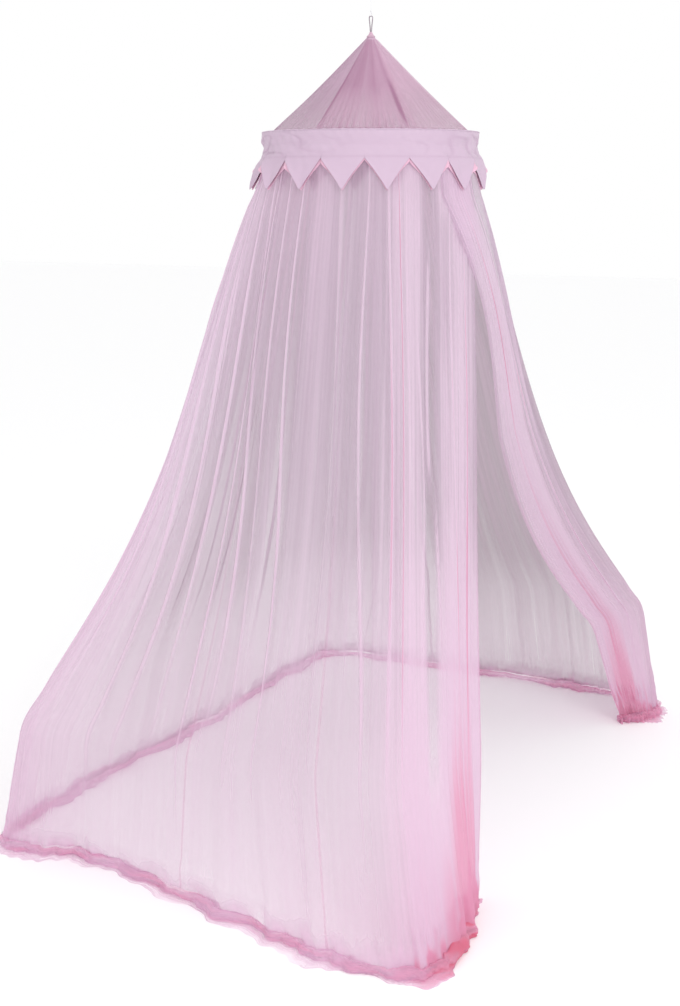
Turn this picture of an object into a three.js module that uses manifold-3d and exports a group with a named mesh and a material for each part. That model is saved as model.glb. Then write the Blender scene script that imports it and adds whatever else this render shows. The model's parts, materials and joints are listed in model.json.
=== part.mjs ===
import * as THREE from "three";
import { mergeVertices } from "three/addons/utils/BufferGeometryUtils.js";
import Module from "manifold-3d";

// Bed crown canopy: a net hung from a fabric-covered hoop, with a cone above it and a pointed valance.
// Lengths are in millimetres. The origin is the ceiling face, Z points up, Y runs along the bed to its head.

const wasm = await Module();
wasm.setup();

// Heights above the floor
const apexHeight = 2500;
const valanceTopHeight = 2187;
const mattressHeight = 430;

// Down from the valance's top edge
const valanceShoulderDrop = 19;
const valanceWaistDrop = 45;
const valanceFootDrop = 69;
const valleyDrop = 85;
const netSleeveDrop = 107;
const tipDrop = 187;
const netThroatDrop = 202;
const valanceShoulderHeight = valanceTopHeight - valanceShoulderDrop;
const valanceWaistHeight = valanceTopHeight - valanceWaistDrop;
const valanceFootHeight = valanceTopHeight - valanceFootDrop;
const valleyHeight = valanceTopHeight - valleyDrop;
const netSleeveHeight = valanceTopHeight - netSleeveDrop;
const tipHeight = valanceTopHeight - tipDrop;
const netThroatHeight = valanceTopHeight - netThroatDrop;

// Above the apex: the loop, then the string up to the ceiling
const loopHeight = 50;
const stringDrop = 150;
const loopTopHeight = apexHeight + loopHeight;
const ceilingHeight = loopTopHeight + stringDrop;

// Plan sizes
const hoopRadius = 340;
const netTopRadius = 338;
const netThroatSpread = 3;
const coneBaseRadius = 317;
const coneTopRadius = 12;
const bedHalfWidth = 660;
const bedHalfLength = 1080;

// Clearances and fabric
const gap = 0.3;
const netThickness = 3;
const coneThickness = 2;
const fabricThickness = 1.1;
const seamHalfWidth = 4;
const seamThickness = 4;
const edgeBandWidth = 12;
const neighbourTrim = 1.4;

// Ceiling hook and string
const plateRadius = 22;
const plateThickness = 4;
const screwHoleRadius = 2.1;
const screwHoleOffset = 14;
const hookWireRadius = 1.75;
const hookShank = 12;
const hookBowlRadius = 9;
const stringRadius = 1;
const upperEyeRadius = 5;
const lowerEyeRadius = 6;
const knotRadius = 2.6;
const knotHeight = 6;

// Hanging loop and apex cap
const tapeWidth = 6;
const tapeThickness = 1.3;
const loopHalfWidth = 6.5;
const capRadius = 14;
const capTopRadius = 5;
const capHeight = 16;

// Hoop, sleeves and casing
const rodRadius = 2.5;
const rodEndGap = 0.8;
const sleeveRadius = 4.4;
const sleeveBoreRadius = 3.1;
const sleeveHalfLength = 24;
const casingInnerRadius = 5.6;
const casingOuterRadius = 6.8;
const hoopHeight = valanceTopHeight - casingOuterRadius;
const netTopHeight = hoopHeight - casingOuterRadius - gap;

// Valance
const valanceRadius = 348.4;
const waistDraw = 3;
const leftFlare = 26;
const plainFlare = 6;
const ledgeInnerRadius = 312;
const ledgeOuterRadius = 350.8;

// Bottom hem
const hemWidth = 44;
const hemHeight = 24;

// Counts
const hoopSegments = 4;
const valancePointCount = 16;
const stepsPerPoint = 6;
const foldsPerStation = 2.25;
const columnsPerStation = 9;
const coneColumns = 48;
const coneFoldCount = 12;

// Ratios
const foldShare = 0.09;
const sagShare = 0.1;
const sagPowerShare = 1.7;
const pointPowerShare = 0.756;
const coneFoldShare = 0.009;
const overlapLayerShare = 1.53;
const neckShare = 0.035;
const widestStripShare = 0.1;
const runProbeShare = 0.02;
const normalProbeShare = 0.03;

// Stations run clockwise round the net, from the free edge of the front leaf to that of the right leaf.
const stationAngles = [
  -14, -30, -46, -62, -90, -118, -140, -160, -180, -200, -220, -238, -262, -290, -312, -335, -358,
];
// Where the net passes the mattress edge, in shares of the bed's half width and half length
const edgeShares = [
  [1.04, -0.645], [1.04, -0.82], [0.97, -0.985], [0.72, -1.012], [0.3, -1.01], [-0.13, -1.01],
  [-0.62, -1.005], [-0.975, -0.985], [-1.02, -0.5], [-1.02, 0.15], [-1.02, 0.75], [-0.93, 1.01],
  [-0.2, 1.02], [0.55, 1.02], [0.97, 1], [1.03, 0.9], [0.89, 0.63],
];
// Where the hem lies on the floor, in the same shares
const floorShares = [
  [1.07, -0.69], [1.17, -0.9], [1.15, -1.11], [0.9, -1.17], [0.45, -1.125], [-0.17, -1.02],
  [-0.74, -0.955], [-1.12, -0.94], [-1.18, -0.5], [-1.14, 0.15], [-1.14, 0.8], [-1.04, 1.06],
  [-0.2, 1.09], [0.6, 1.09], [1.06, 1.04], [1.16, 0.95], [0.99, 0.8],
];
const frontLeafIndex = 1;
const rightLeafIndex = 15;

const netPieces = [
  ["front_leaf_net", 0, 18, frontLeafIndex],
  ["foot_net_right", 18, 31, null],
  ["foot_net_centre", 31, 44, null],
  ["foot_corner_net", 44, 67, null],
  ["left_side_net", 67, 92, null],
  ["head_corner_net", 92, 108, null],
  ["head_net", 108, 126, null],
  ["right_leaf_net", 126, 144, rightLeafIndex],
];
const seamPieces = [
  ["foot_seam_right", 31],
  ["foot_seam_left", 44],
  ["left_side_seam", 67],
  ["left_head_seam", 92],
  ["head_seam", 108],
];

const group = new THREE.Group();

/** Colour and surface of one piece. */
const finish = (color, roughness, metalness = 0) =>
  new THREE.MeshStandardMaterial({ color, roughness, metalness });

const netPink = () => finish("#e2bcd3", 0.85);
const hemPink = () => finish("#ee9ebf", 0.85);
const cottonPink = () => finish("#e6c8dc", 0.8);
const liningPink = () => finish("#eba6c8", 0.8);

function add(name, geometry, material) {
  const mesh = new THREE.Mesh(geometry, material);
  mesh.name = name;
  group.add(mesh);
  return mesh;
}

/** Height above the floor as a Z value under the ceiling. */
const zAt = (height) => height - ceilingHeight;

const radians = (degrees) => THREE.MathUtils.degToRad(degrees);

const polar = (radius, degrees, z) =>
  new THREE.Vector3(radius * Math.cos(radians(degrees)), radius * Math.sin(radians(degrees)), z);

/** Smooth value of a table of numbers at a fractional place. */
function smoothAt(table, place) {
  const last = table.length - 1;
  const i = Math.min(Math.max(Math.floor(place), 0), last - 1);
  const t = place - i;
  const p1 = table[i];
  const p2 = table[i + 1];
  const p0 = i > 0 ? table[i - 1] : p1 + p1 - p2;
  const p3 = i + 2 <= last ? table[i + 2] : p2 + p2 - p1;
  const m1 = (p2 - p0) / 2;
  const m2 = (p3 - p1) / 2;
  const t2 = t * t;
  const t3 = t2 * t;
  return (2 * t3 - 3 * t2 + 1) * p1 + (t3 - 2 * t2 + t) * m1 + (3 * t2 - 2 * t3) * p2 + (t3 - t2) * m2;
}

/** Closed geometry from vertices and triangles, turned to face out. */
function closedGeometry(vertices, triangles) {
  let volume = 0;
  for (const [a, b, c] of triangles) {
    volume += vertices[a].dot(new THREE.Vector3().crossVectors(vertices[b], vertices[c]));
  }
  const index = triangles.flatMap(([a, b, c]) => (volume < 0 ? [a, c, b] : [a, b, c]));
  const geometry = new THREE.BufferGeometry().setFromPoints(vertices);
  geometry.setIndex(index);
  geometry.computeVertexNormals();
  return geometry;
}

/** Cloth of one thickness about a grid of points, open or closed round its columns, with level edges. */
function sheetGeometry(columns, thickness, wrap, normals) {
  const count = columns.length;
  const rows = columns[0].length;
  const at = (i, j) => columns[wrap ? (i + count) % count : Math.min(Math.max(i, 0), count - 1)][
    Math.min(Math.max(j, 0), rows - 1)];
  const vertices = [];
  for (const side of [1, -1]) {
    for (let i = 0; i < count; i++) {
      for (let j = 0; j < rows; j++) {
        const across = at(i + 1, j).clone().sub(at(i - 1, j));
        const along = at(i, j + 1).clone().sub(at(i, j - 1));
        const normal = normals ? normals[i][j].clone() : across.cross(along);
        if (j === 0 || j === rows - 1) {
          normal.z = 0;
        }
        normal.normalize();
        vertices.push(at(i, j).clone().addScaledVector(normal, (side * thickness) / 2));
      }
    }
  }
  const id = (side, i, j) => side * count * rows + (i % count) * rows + j;
  const triangles = [];
  const quad = (a, b, c, d) => triangles.push([a, b, c], [a, c, d]);
  const spans = wrap ? count : count - 1;
  for (let i = 0; i < spans; i++) {
    for (let j = 0; j < rows - 1; j++) {
      quad(id(0, i, j), id(0, i + 1, j), id(0, i + 1, j + 1), id(0, i, j + 1));
      quad(id(1, i, j), id(1, i, j + 1), id(1, i + 1, j + 1), id(1, i + 1, j));
    }
    quad(id(0, i, 0), id(1, i, 0), id(1, i + 1, 0), id(0, i + 1, 0));
    quad(id(0, i, rows - 1), id(0, i + 1, rows - 1), id(1, i + 1, rows - 1), id(1, i, rows - 1));
  }
  if (!wrap) {
    const end = count - 1;
    for (let j = 0; j < rows - 1; j++) {
      quad(id(0, 0, j), id(0, 0, j + 1), id(1, 0, j + 1), id(1, 0, j));
      quad(id(0, end, j), id(1, end, j), id(1, end, j + 1), id(0, end, j + 1));
    }
  }
  return closedGeometry(vertices, triangles);
}

/** Body swept through rings of points, capped at both ends. */
function sweptGeometry(rings) {
  const sides = rings[0].length;
  const vertices = rings.flat();
  const triangles = [];
  for (let i = 0; i < rings.length - 1; i++) {
    for (let k = 0; k < sides; k++) {
      const a = i * sides + k;
      const b = i * sides + ((k + 1) % sides);
      triangles.push([a, b, b + sides], [a, b + sides, a + sides]);
    }
  }
  const first = (rings.length - 1) * sides;
  for (let k = 1; k < sides - 1; k++) {
    triangles.push([0, k + 1, k], [first, first + k, first + k + 1]);
  }
  return closedGeometry(vertices, triangles);
}

/** Solid for joining and cutting. */
function toSolid(geometry) {
  const bare = geometry.index ? geometry.toNonIndexed() : geometry.clone();
  bare.deleteAttribute("normal");
  bare.deleteAttribute("uv");
  const merged = mergeVertices(bare, 0.001);
  const vertProperties = merged.attributes.position.array;
  const triVerts = new Uint32Array(merged.index.array);
  return new wasm.Manifold(new wasm.Mesh({ numProp: 3, vertProperties, triVerts }));
}

function fromSolid(solid) {
  const made = solid.getMesh();
  const geometry = new THREE.BufferGeometry();
  geometry.setAttribute("position", new THREE.BufferAttribute(made.vertProperties, 3));
  geometry.setIndex(new THREE.BufferAttribute(made.triVerts, 1));
  geometry.computeVertexNormals();
  return geometry;
}

/** Upright round bar between two Z values. */
function roundBar(radius, low, high, sides) {
  const bar = new THREE.CylinderGeometry(radius, radius, high - low, sides);
  bar.rotateX(Math.PI / 2);
  bar.translate(0, 0, (low + high) / 2);
  return bar;
}

/** Ring of round wire about a centre; it stands in the XZ plane, or in the YZ plane when turned. */
function wireRing(radius, wireRadius, centreZ, turned) {
  const ring = new THREE.TorusGeometry(radius, wireRadius, 8, 24);
  ring.rotateX(Math.PI / 2);
  if (turned) {
    ring.rotateZ(Math.PI / 2);
  }
  ring.translate(0, 0, centreZ);
  return ring;
}

// Ceiling fitting and string

const plateUnder = -plateThickness;
const bowlCentre = plateUnder - hookShank - hookBowlRadius;
const bowlBottom = bowlCentre - hookBowlRadius;
const upperEyeCentre = bowlBottom - (upperEyeRadius - stringRadius - hookWireRadius - gap);
const tapeInnerTop = zAt(loopTopHeight) - tapeThickness;
const lowerEyeHole = lowerEyeRadius - stringRadius;
const tapeSeat = Math.sqrt(lowerEyeHole ** 2 - (tapeWidth / 2) ** 2) - gap;
const lowerEyeCentre = tapeInnerTop + tapeSeat;
const lowerKnotFoot = lowerEyeCentre + lowerEyeRadius;
const lowerKnotTop = lowerKnotFoot + knotHeight;

function ceilingHook() {
  let plate = toSolid(roundBar(plateRadius, plateUnder, 0, 48));
  for (const side of [1, -1]) {
    const hole = roundBar(screwHoleRadius, plateUnder - plateThickness, plateThickness, 16);
    hole.translate(side * screwHoleOffset, 0, 0);
    plate = plate.subtract(toSolid(hole));
  }
  const section = new THREE.Shape().absarc(0, 0, hookWireRadius, 0, Math.PI * 2);
  const bend = [];
  bend.push(new THREE.Vector3(0, 0, plateUnder + plateThickness / 2));
  bend.push(new THREE.Vector3(0, 0, plateUnder - hookShank / 2));
  for (let k = 0; k <= 12; k++) {
    const turn = radians(90 - (k * 270) / 12);
    const y = hookBowlRadius * Math.cos(turn);
    bend.push(new THREE.Vector3(0, y, bowlCentre + hookBowlRadius * Math.sin(turn)));
  }
  const curve = new THREE.CatmullRomCurve3(bend, false, "centripetal");
  const wire = new THREE.ExtrudeGeometry(section, { steps: 28, curveSegments: 4, extrudePath: curve });
  add("ceiling_hook", fromSolid(plate.add(toSolid(wire))), finish("#e9e9ea", 0.35, 0.1));
}

function suspensionString() {
  const stringTop = upperEyeCentre - upperEyeRadius;
  const run = toSolid(roundBar(stringRadius, lowerKnotTop + gap, stringTop + stringRadius / 2, 8));
  const eye = toSolid(wireRing(upperEyeRadius, stringRadius, upperEyeCentre, false));
  add("suspension_string", fromSolid(run.add(eye)), finish("#f1f1f3", 0.5));
  const knotTop = stringTop - stringRadius - gap;
  const knot = toSolid(roundBar(knotRadius, knotTop - knotHeight, knotTop, 12));
  const bore = toSolid(roundBar(stringRadius + gap, knotTop - knotHeight - gap, knotTop + gap, 12));
  add("upper_string_knot", fromSolid(knot.subtract(bore)), finish("#f1f1f3", 0.5));
  const foot = toSolid(roundBar(knotRadius, lowerKnotFoot, lowerKnotTop, 12));
  const lowerEye = toSolid(wireRing(lowerEyeRadius, stringRadius, lowerEyeCentre, true));
  add("lower_string_eye", fromSolid(foot.add(lowerEye)), finish("#f1f1f3", 0.5));
}

const capTop = zAt(apexHeight);
const capFoot = capTop - capHeight;

/** Narrow drop of tape: half widths at shares of its height, outer or inner. */
function dropOutline(foot, top, halfWidth, target) {
  const widthShares = [0.35, 0.45, 0.62, 0.82, 0.98, 1.0, 0.82, 0.45];
  const heightShares = [0, 0.2, 0.42, 0.62, 0.78, 0.87, 0.95, 0.99];
  const height = top - foot;
  widthShares.forEach((w, k) => {
    const x = w * halfWidth;
    const y = foot + heightShares[k] * height;
    if (k === 0) {
      target.moveTo(x, y);
    } else {
      target.lineTo(x, y);
    }
  });
  target.lineTo(0, top);
  for (let k = widthShares.length - 1; k >= 0; k--) {
    target.lineTo(-widthShares[k] * halfWidth, foot + heightShares[k] * height);
  }
  target.closePath();
  return target;
}

function hangingLoop() {
  const foot = capTop + gap;
  const shape = dropOutline(foot, zAt(loopTopHeight), loopHalfWidth, new THREE.Shape());
  const hole = dropOutline(foot + tapeWidth, tapeInnerTop, loopHalfWidth - tapeThickness, new THREE.Path());
  shape.holes.push(hole);
  const loop = new THREE.ExtrudeGeometry(shape, { depth: tapeWidth, bevelEnabled: false, curveSegments: 4 });
  loop.translate(0, 0, -tapeWidth / 2);
  loop.rotateX(Math.PI / 2);
  add("hanging_loop", loop, finish("#b9aeb9", 0.8));
}

function apexCap() {
  const cap = new THREE.CylinderGeometry(capTopRadius, capRadius, capHeight, 24);
  cap.rotateX(Math.PI / 2);
  cap.translate(0, 0, (capFoot + capTop) / 2);
  add("apex_cap", cap, finish("#cf93b6", 0.85));
}

// Cone

const coneFoot = zAt(valanceTopHeight) + gap + fabricThickness + gap;
const coneHead = capFoot - gap;

/** Point of the cone at an angle and a share of the way down, moved out by a layer offset. */
function conePoint(degrees, share, offset, fold) {
  const z = coneHead + (coneFoot - coneHead) * share;
  const plain = coneTopRadius + (coneBaseRadius - coneTopRadius) * share;
  const gather = Math.cos(radians(degrees * fold)) * coneBaseRadius * coneFoldShare * share ** 4;
  return polar(plain + offset + gather, degrees, z);
}

function crownNet() {
  const rowShares = [0, 0.3, 0.6, 0.85, 1];
  const columns = [];
  for (let i = 0; i < coneColumns; i++) {
    const degrees = (-360 * i) / coneColumns;
    columns.push(rowShares.map((share) => conePoint(degrees, share, 0, coneFoldCount)));
  }
  add("crown_net", sheetGeometry(columns, coneThickness, true), finish("#d0aec8", 0.85));
}

/** Second layer of net, where the cone's cloth laps over itself on the front. */
function crownOverlap() {
  const rowShares = [0.06, 0.3, 0.6, 0.85, 0.985];
  const startAngle = -27;
  const sweepAngle = 69;
  const steps = 24;
  const slope = Math.hypot(coneBaseRadius - coneTopRadius, coneHead - coneFoot) / (coneHead - coneFoot);
  const layer = coneThickness * overlapLayerShare * slope;
  const columns = [];
  for (let i = 0; i <= steps; i++) {
    const degrees = startAngle - (sweepAngle * i) / steps;
    columns.push(rowShares.map((share) => conePoint(degrees, share, layer, coneFoldCount)));
  }
  add("crown_overlap_panel", sheetGeometry(columns, coneThickness, false), finish("#c898b9", 0.85));
}

// Hoop and casing

/** Round rod bent to part of the hoop. */
function hoopArc(radius, startDegrees, endDegrees, steps) {
  const rings = [];
  for (let i = 0; i <= steps; i++) {
    const degrees = startDegrees + ((endDegrees - startDegrees) * i) / steps;
    const ring = [];
    for (let k = 0; k < 8; k++) {
      const turn = (k * Math.PI) / 4;
      const out = hoopRadius + radius * Math.cos(turn);
      ring.push(polar(out, degrees, zAt(hoopHeight) + radius * Math.sin(turn)));
    }
    rings.push(ring);
  }
  return sweptGeometry(rings);
}

function hoop() {
  const span = 360 / hoopSegments;
  const endTrim = THREE.MathUtils.radToDeg(rodEndGap / 2 / hoopRadius);
  const sleeveTurn = THREE.MathUtils.radToDeg(sleeveHalfLength / hoopRadius);
  const places = ["right", "head", "left", "foot"];
  for (let n = 0; n < hoopSegments; n++) {
    const start = n * span - span / 2;
    const rod = hoopArc(rodRadius, start + endTrim, start + span - endTrim, 22);
    add("hoop_rod_" + places[n], rod, finish("#c9ccd0", 0.35, 0.8));
    const outer = toSolid(hoopArc(sleeveRadius, start - sleeveTurn, start + sleeveTurn, 4));
    const bore = toSolid(hoopArc(sleeveBoreRadius, start - sleeveTurn * 1.05, start + sleeveTurn * 1.05, 4));
    add("hoop_sleeve_" + (n + 1), fromSolid(outer.subtract(bore)), finish("#8f9297", 0.4, 0.6));
  }
}

/** Cloth tunnel round the hoop, open along its inner side. */
function hoopCasing() {
  const outline = [];
  const steps = 5;
  const mouth = 30;
  for (let k = 0; k <= steps; k++) {
    const turn = radians(-180 + mouth + ((360 - 2 * mouth) * k) / steps);
    const r = hoopRadius + casingOuterRadius * Math.cos(turn);
    outline.push(new THREE.Vector2(r, zAt(hoopHeight) + casingOuterRadius * Math.sin(turn)));
  }
  for (let k = steps; k >= 0; k--) {
    const turn = radians(-180 + mouth + ((360 - 2 * mouth) * k) / steps);
    const r = hoopRadius + casingInnerRadius * Math.cos(turn);
    outline.push(new THREE.Vector2(r, zAt(hoopHeight) + casingInnerRadius * Math.sin(turn)));
  }
  outline.push(outline[0].clone());
  const casing = new THREE.LatheGeometry(outline, 64);
  casing.rotateX(Math.PI / 2);
  add("hoop_casing", casing, cottonPink());
}

/** Flat ring of cloth between the cone's foot and the hoop. */
function ledge() {
  const low = zAt(valanceTopHeight) + gap;
  const high = low + fabricThickness;
  const outline = [
    new THREE.Vector2(ledgeInnerRadius, low),
    new THREE.Vector2(ledgeOuterRadius, low),
    new THREE.Vector2(ledgeOuterRadius, high),
    new THREE.Vector2(ledgeInnerRadius, high),
    new THREE.Vector2(ledgeInnerRadius, low),
  ];
  const ring = new THREE.LatheGeometry(outline, 64);
  ring.rotateX(Math.PI / 2);
  add("valance_top_ledge", ring, cottonPink());
}

// Valance

/** How far the cloth leans out at its lower edge, by direction; most at the left. */
function flareAt(degrees) {
  const facing = Math.max(0, Math.cos(radians(degrees + 165)));
  return plainFlare + leftFlare * facing * facing;
}

function valanceRadiusAt(degrees, height) {
  const down = Math.max(0, (valanceFootHeight - height) / (valanceFootHeight - tipHeight));
  const waist = Math.max(0, 1 - Math.abs(height - valanceWaistHeight) / valanceWaistDrop);
  return valanceRadius - waistDraw * waist * waist + flareAt(degrees) * down * down;
}

/** Lower edge of the valance: the points have hollow sides. */
function valanceEdge(step) {
  const half = stepsPerPoint / 2;
  const fromTip = Math.abs(((step % stepsPerPoint) + stepsPerPoint) % stepsPerPoint - half) / half;
  return tipHeight + (valleyHeight - tipHeight) * fromTip ** pointPowerShare;
}

function valanceLayer(name, offset, shorter, material) {
  const count = valancePointCount * stepsPerPoint;
  const columns = [];
  for (let i = 0; i < count; i++) {
    const degrees = (-360 * i) / count;
    const heights = [valanceTopHeight, valanceShoulderHeight, valanceWaistHeight, valanceFootHeight];
    heights.push(Math.min(valanceEdge(i) + shorter, valleyHeight + (valanceFootHeight - valleyHeight) / 2));
    columns.push(heights.map((h) => polar(valanceRadiusAt(degrees, h) + offset, degrees, zAt(h))));
  }
  add(name, sheetGeometry(columns, fabricThickness, true), material);
}

function valance() {
  valanceLayer("valance_band", gap + fabricThickness, 0, cottonPink());
  valanceLayer("valance_lining", 0, fabricThickness, liningPink());
}

// Net

const topRowIndex = 0;
const throatRowIndex = 2;
const edgeRowIndex = 7;
const floorRowIndex = 9;
const hangShares = [0.2, 0.45, 0.7, 0.88, 1];
const dropShares = [0.5, 1];
const rowFoldShares = [0.1, 0.3, 0.45, 0.8, 1, 1, 0.9, 0.7, 0.9, 1];
const neckShares = [neckShare, neckShare, neckShare * 2, 0.4, 0.8, 1, 1, 1, 1, 1];

/** Net without its folds, at a station and a row. A leaf's net narrows to its own point at the top. */
function plainNet(station, row, leafStation) {
  let degrees = smoothAt(stationAngles, station);
  if (leafStation !== null) {
    const hang = stationAngles[leafStation];
    degrees = hang + (degrees - hang) * neckShares[row];
  }
  const throatRadius = netTopRadius + netThroatSpread + flareAt(degrees);
  if (row === topRowIndex) {
    return polar(netTopRadius, degrees, zAt(netTopHeight));
  }
  if (row < throatRowIndex) {
    const down = (netTopHeight - netSleeveHeight) / (netTopHeight - netThroatHeight);
    const radius = netTopRadius + (throatRadius - netTopRadius) * down * down;
    return polar(radius, degrees, zAt(netSleeveHeight));
  }
  const throat = polar(throatRadius, degrees, zAt(netThroatHeight));
  if (row === throatRowIndex) {
    return throat;
  }
  const edge = new THREE.Vector3(
    smoothAt(edgeShares.map((p) => p[0]), station) * bedHalfWidth,
    smoothAt(edgeShares.map((p) => p[1]), station) * bedHalfLength,
    zAt(mattressHeight),
  );
  if (row <= edgeRowIndex) {
    const down = hangShares[row - throatRowIndex - 1];
    const out = down - sagShare * Math.sin(Math.PI * down ** sagPowerShare);
    const point = throat.clone().lerp(edge, out);
    point.z = throat.z + (edge.z - throat.z) * down;
    return point;
  }
  const floor = new THREE.Vector3(
    smoothAt(floorShares.map((p) => p[0]), station) * bedHalfWidth,
    smoothAt(floorShares.map((p) => p[1]), station) * bedHalfLength,
    zAt(hemHeight + gap),
  );
  return edge.clone().lerp(floor, dropShares[row - edgeRowIndex - 1]);
}

const lastStation = stationAngles.length - 1;

/** Direction and speed of the net along a row, without its folds. */
function netRun(station, row, leafStation) {
  const before = Math.max(station - runProbeShare, 0);
  const after = Math.min(station + runProbeShare, lastStation);
  const run = plainNet(after, row, leafStation).sub(plainNet(before, row, leafStation));
  return run.divideScalar(after - before);
}

function netPoint(station, row, leafStation) {
  const run = netRun(station, row, leafStation);
  const speed = Math.hypot(run.x, run.y);
  const outward = new THREE.Vector3(run.y, -run.x, 0).divideScalar(-speed);
  const depth = (foldShare * speed * rowFoldShares[row]) / foldsPerStation;
  const wave = Math.cos(2 * Math.PI * foldsPerStation * station);
  return plainNet(station, row, leafStation).addScaledVector(outward, depth * wave);
}

/** Station beside another one: past a strip, which narrows where the net does, and a clearance. */
function stationBeside(station, side, [width, clear], row, leafStation) {
  const run = netRun(station, row, leafStation);
  const speed = Math.hypot(run.x, run.y);
  return station + side * (Math.min(width / speed, widestStripShare) + clear / speed);
}

/** Direction square to the folded net at a station and a row. */
function netNormal(station, row, leafStation) {
  const ahead = netPoint(station + normalProbeShare, row, leafStation);
  const across = ahead.sub(netPoint(station - normalProbeShare, row, leafStation));
  const above = netPoint(station, Math.max(row - 1, topRowIndex), leafStation);
  const below = netPoint(station, Math.min(row + 1, floorRowIndex), leafStation);
  return across.cross(below.sub(above)).normalize();
}

/** Sheet of net from a grid of stations; every piece uses the same points and directions at its sides. */
function netSheet(stations, thickness, leafStation) {
  const columns = stations.map((column) => column.map((s, row) => netPoint(s, row, leafStation)));
  const normals = stations.map((column) => column.map((s, row) => netNormal(s, row, leafStation)));
  return { columns, normals, geometry: sheetGeometry(columns, thickness, false, normals) };
}

/** Stations of net between two column numbers, trimmed at both sides. */
function netStations(from, to, leafStation, startTrim, endTrim) {
  const columns = [];
  for (let c = from; c <= to; c++) {
    const share = (c - from) / (to - from);
    const column = [];
    for (let row = topRowIndex; row <= floorRowIndex; row++) {
      const start = stationBeside(from / columnsPerStation, 1, startTrim, row, leafStation);
      const end = stationBeside(to / columnsPerStation, -1, endTrim, row, leafStation);
      column.push(start + (end - start) * share);
    }
    columns.push(column);
  }
  return columns;
}

const seamColumns = new Set(seamPieces.map(([, column]) => column));
const firstColumn = netPieces[0][1];
const endColumn = netPieces[netPieces.length - 1][2];

/** Strip width and clearance by which the net is cut back at a seam, a free edge or a neighbour. */
function trimAt(column) {
  if (seamColumns.has(column)) {
    return [seamHalfWidth, gap];
  }
  return column === firstColumn || column === endColumn ? [edgeBandWidth, gap] : [0, neighbourTrim];
}

function nets() {
  for (const [name, from, to, leafStation] of netPieces) {
    const stations = netStations(from, to, leafStation, trimAt(from), trimAt(to));
    const { columns, normals, geometry } = netSheet(stations, netThickness, leafStation);
    add(name, geometry, netPink());
    add(name.replace("_net", "") + "_hem", hemGeometry(columns, normals), hemPink());
  }
}

/** Gathered hem lying on the floor under a net's lower edge. */
function hemGeometry(columns, normals) {
  const sectionShares = [[-0.5, 0.35], [-0.3, 0], [0.3, 0], [0.5, 0.35], [0.22, 1], [-0.22, 1]];
  const rings = columns.map((column, i) => {
    const side = normals[i][floorRowIndex].clone().setZ(0).normalize();
    return sectionShares.map(([across, up]) => {
      const p = column[floorRowIndex].clone().addScaledVector(side, across * hemWidth);
      p.z = zAt(0) + up * hemHeight;
      return p;
    });
  });
  return sweptGeometry(rings);
}

/** Narrow strip of doubled net that follows the folds at one or both sides of a station. */
function strip(station, sides, width, thickness, leafStation) {
  const stations = sides.map((side) => {
    const column = [];
    for (let row = topRowIndex; row <= floorRowIndex; row++) {
      column.push(stationBeside(station, side, [width, 0], row, leafStation));
    }
    return column;
  });
  return netSheet(stations, thickness, leafStation).geometry;
}

function seams() {
  for (const [name, column] of seamPieces) {
    const station = column / columnsPerStation;
    add(name, strip(station, [-1, 1], seamHalfWidth, seamThickness, null), finish("#e7a3c6", 0.85));
  }
}

function leafEdges() {
  add("front_leaf_edge", strip(0, [0, 1], edgeBandWidth, netThickness, frontLeafIndex), hemPink());
  add("right_leaf_edge", strip(lastStation, [-1, 0], edgeBandWidth, netThickness, rightLeafIndex), hemPink());
}

ceilingHook();
suspensionString();
hangingLoop();
apexCap();
crownNet();
crownOverlap();
ledge();
hoop();
hoopCasing();
valance();
nets();
seams();
leafEdges();

export default group;
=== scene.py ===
"""Bed crown canopy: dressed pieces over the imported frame, in metres from the ceiling face."""

from __future__ import annotations

import json
import logging
import math
from dataclasses import dataclass, field
from enum import Enum
from typing import Callable, Sequence

import bpy
import numpy as np
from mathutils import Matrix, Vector

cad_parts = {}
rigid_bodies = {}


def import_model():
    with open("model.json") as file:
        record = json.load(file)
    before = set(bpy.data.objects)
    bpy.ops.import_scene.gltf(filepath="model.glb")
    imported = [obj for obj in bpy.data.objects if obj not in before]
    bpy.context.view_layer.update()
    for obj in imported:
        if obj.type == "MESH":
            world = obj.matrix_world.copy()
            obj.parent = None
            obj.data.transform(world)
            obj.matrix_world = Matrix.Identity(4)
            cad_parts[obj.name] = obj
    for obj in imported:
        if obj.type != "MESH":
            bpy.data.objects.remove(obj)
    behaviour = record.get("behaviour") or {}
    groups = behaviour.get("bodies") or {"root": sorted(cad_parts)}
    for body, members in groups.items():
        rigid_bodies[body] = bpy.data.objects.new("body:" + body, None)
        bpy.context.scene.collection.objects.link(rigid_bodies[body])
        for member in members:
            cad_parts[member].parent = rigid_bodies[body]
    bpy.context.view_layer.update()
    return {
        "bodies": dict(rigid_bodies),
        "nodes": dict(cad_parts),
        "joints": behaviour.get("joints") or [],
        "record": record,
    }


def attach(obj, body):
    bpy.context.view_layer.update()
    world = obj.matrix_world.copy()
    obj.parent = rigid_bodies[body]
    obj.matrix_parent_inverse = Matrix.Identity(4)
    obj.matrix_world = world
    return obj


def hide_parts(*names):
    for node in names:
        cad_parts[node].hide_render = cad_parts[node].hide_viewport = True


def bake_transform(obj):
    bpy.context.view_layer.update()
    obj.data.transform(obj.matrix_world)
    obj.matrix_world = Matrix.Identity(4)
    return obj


LOG = logging.getLogger("bed_crown_canopy")
CEILING = 2.7
TAU = 2.0 * math.pi
Triple = tuple[float, float, float]
Colour = Triple

# Directions round the hoop, in degrees: to the camera, and to the widest spread at its right and left
TO_CAMERA = -63.4
TO_RIGHT = 26.6
TO_LEFT = -165.0

# The net's stations run from its front free edge to its right one; the CAD has nine columns to each
LAST_STATION = 16
CAD_COLUMNS = 9


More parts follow.
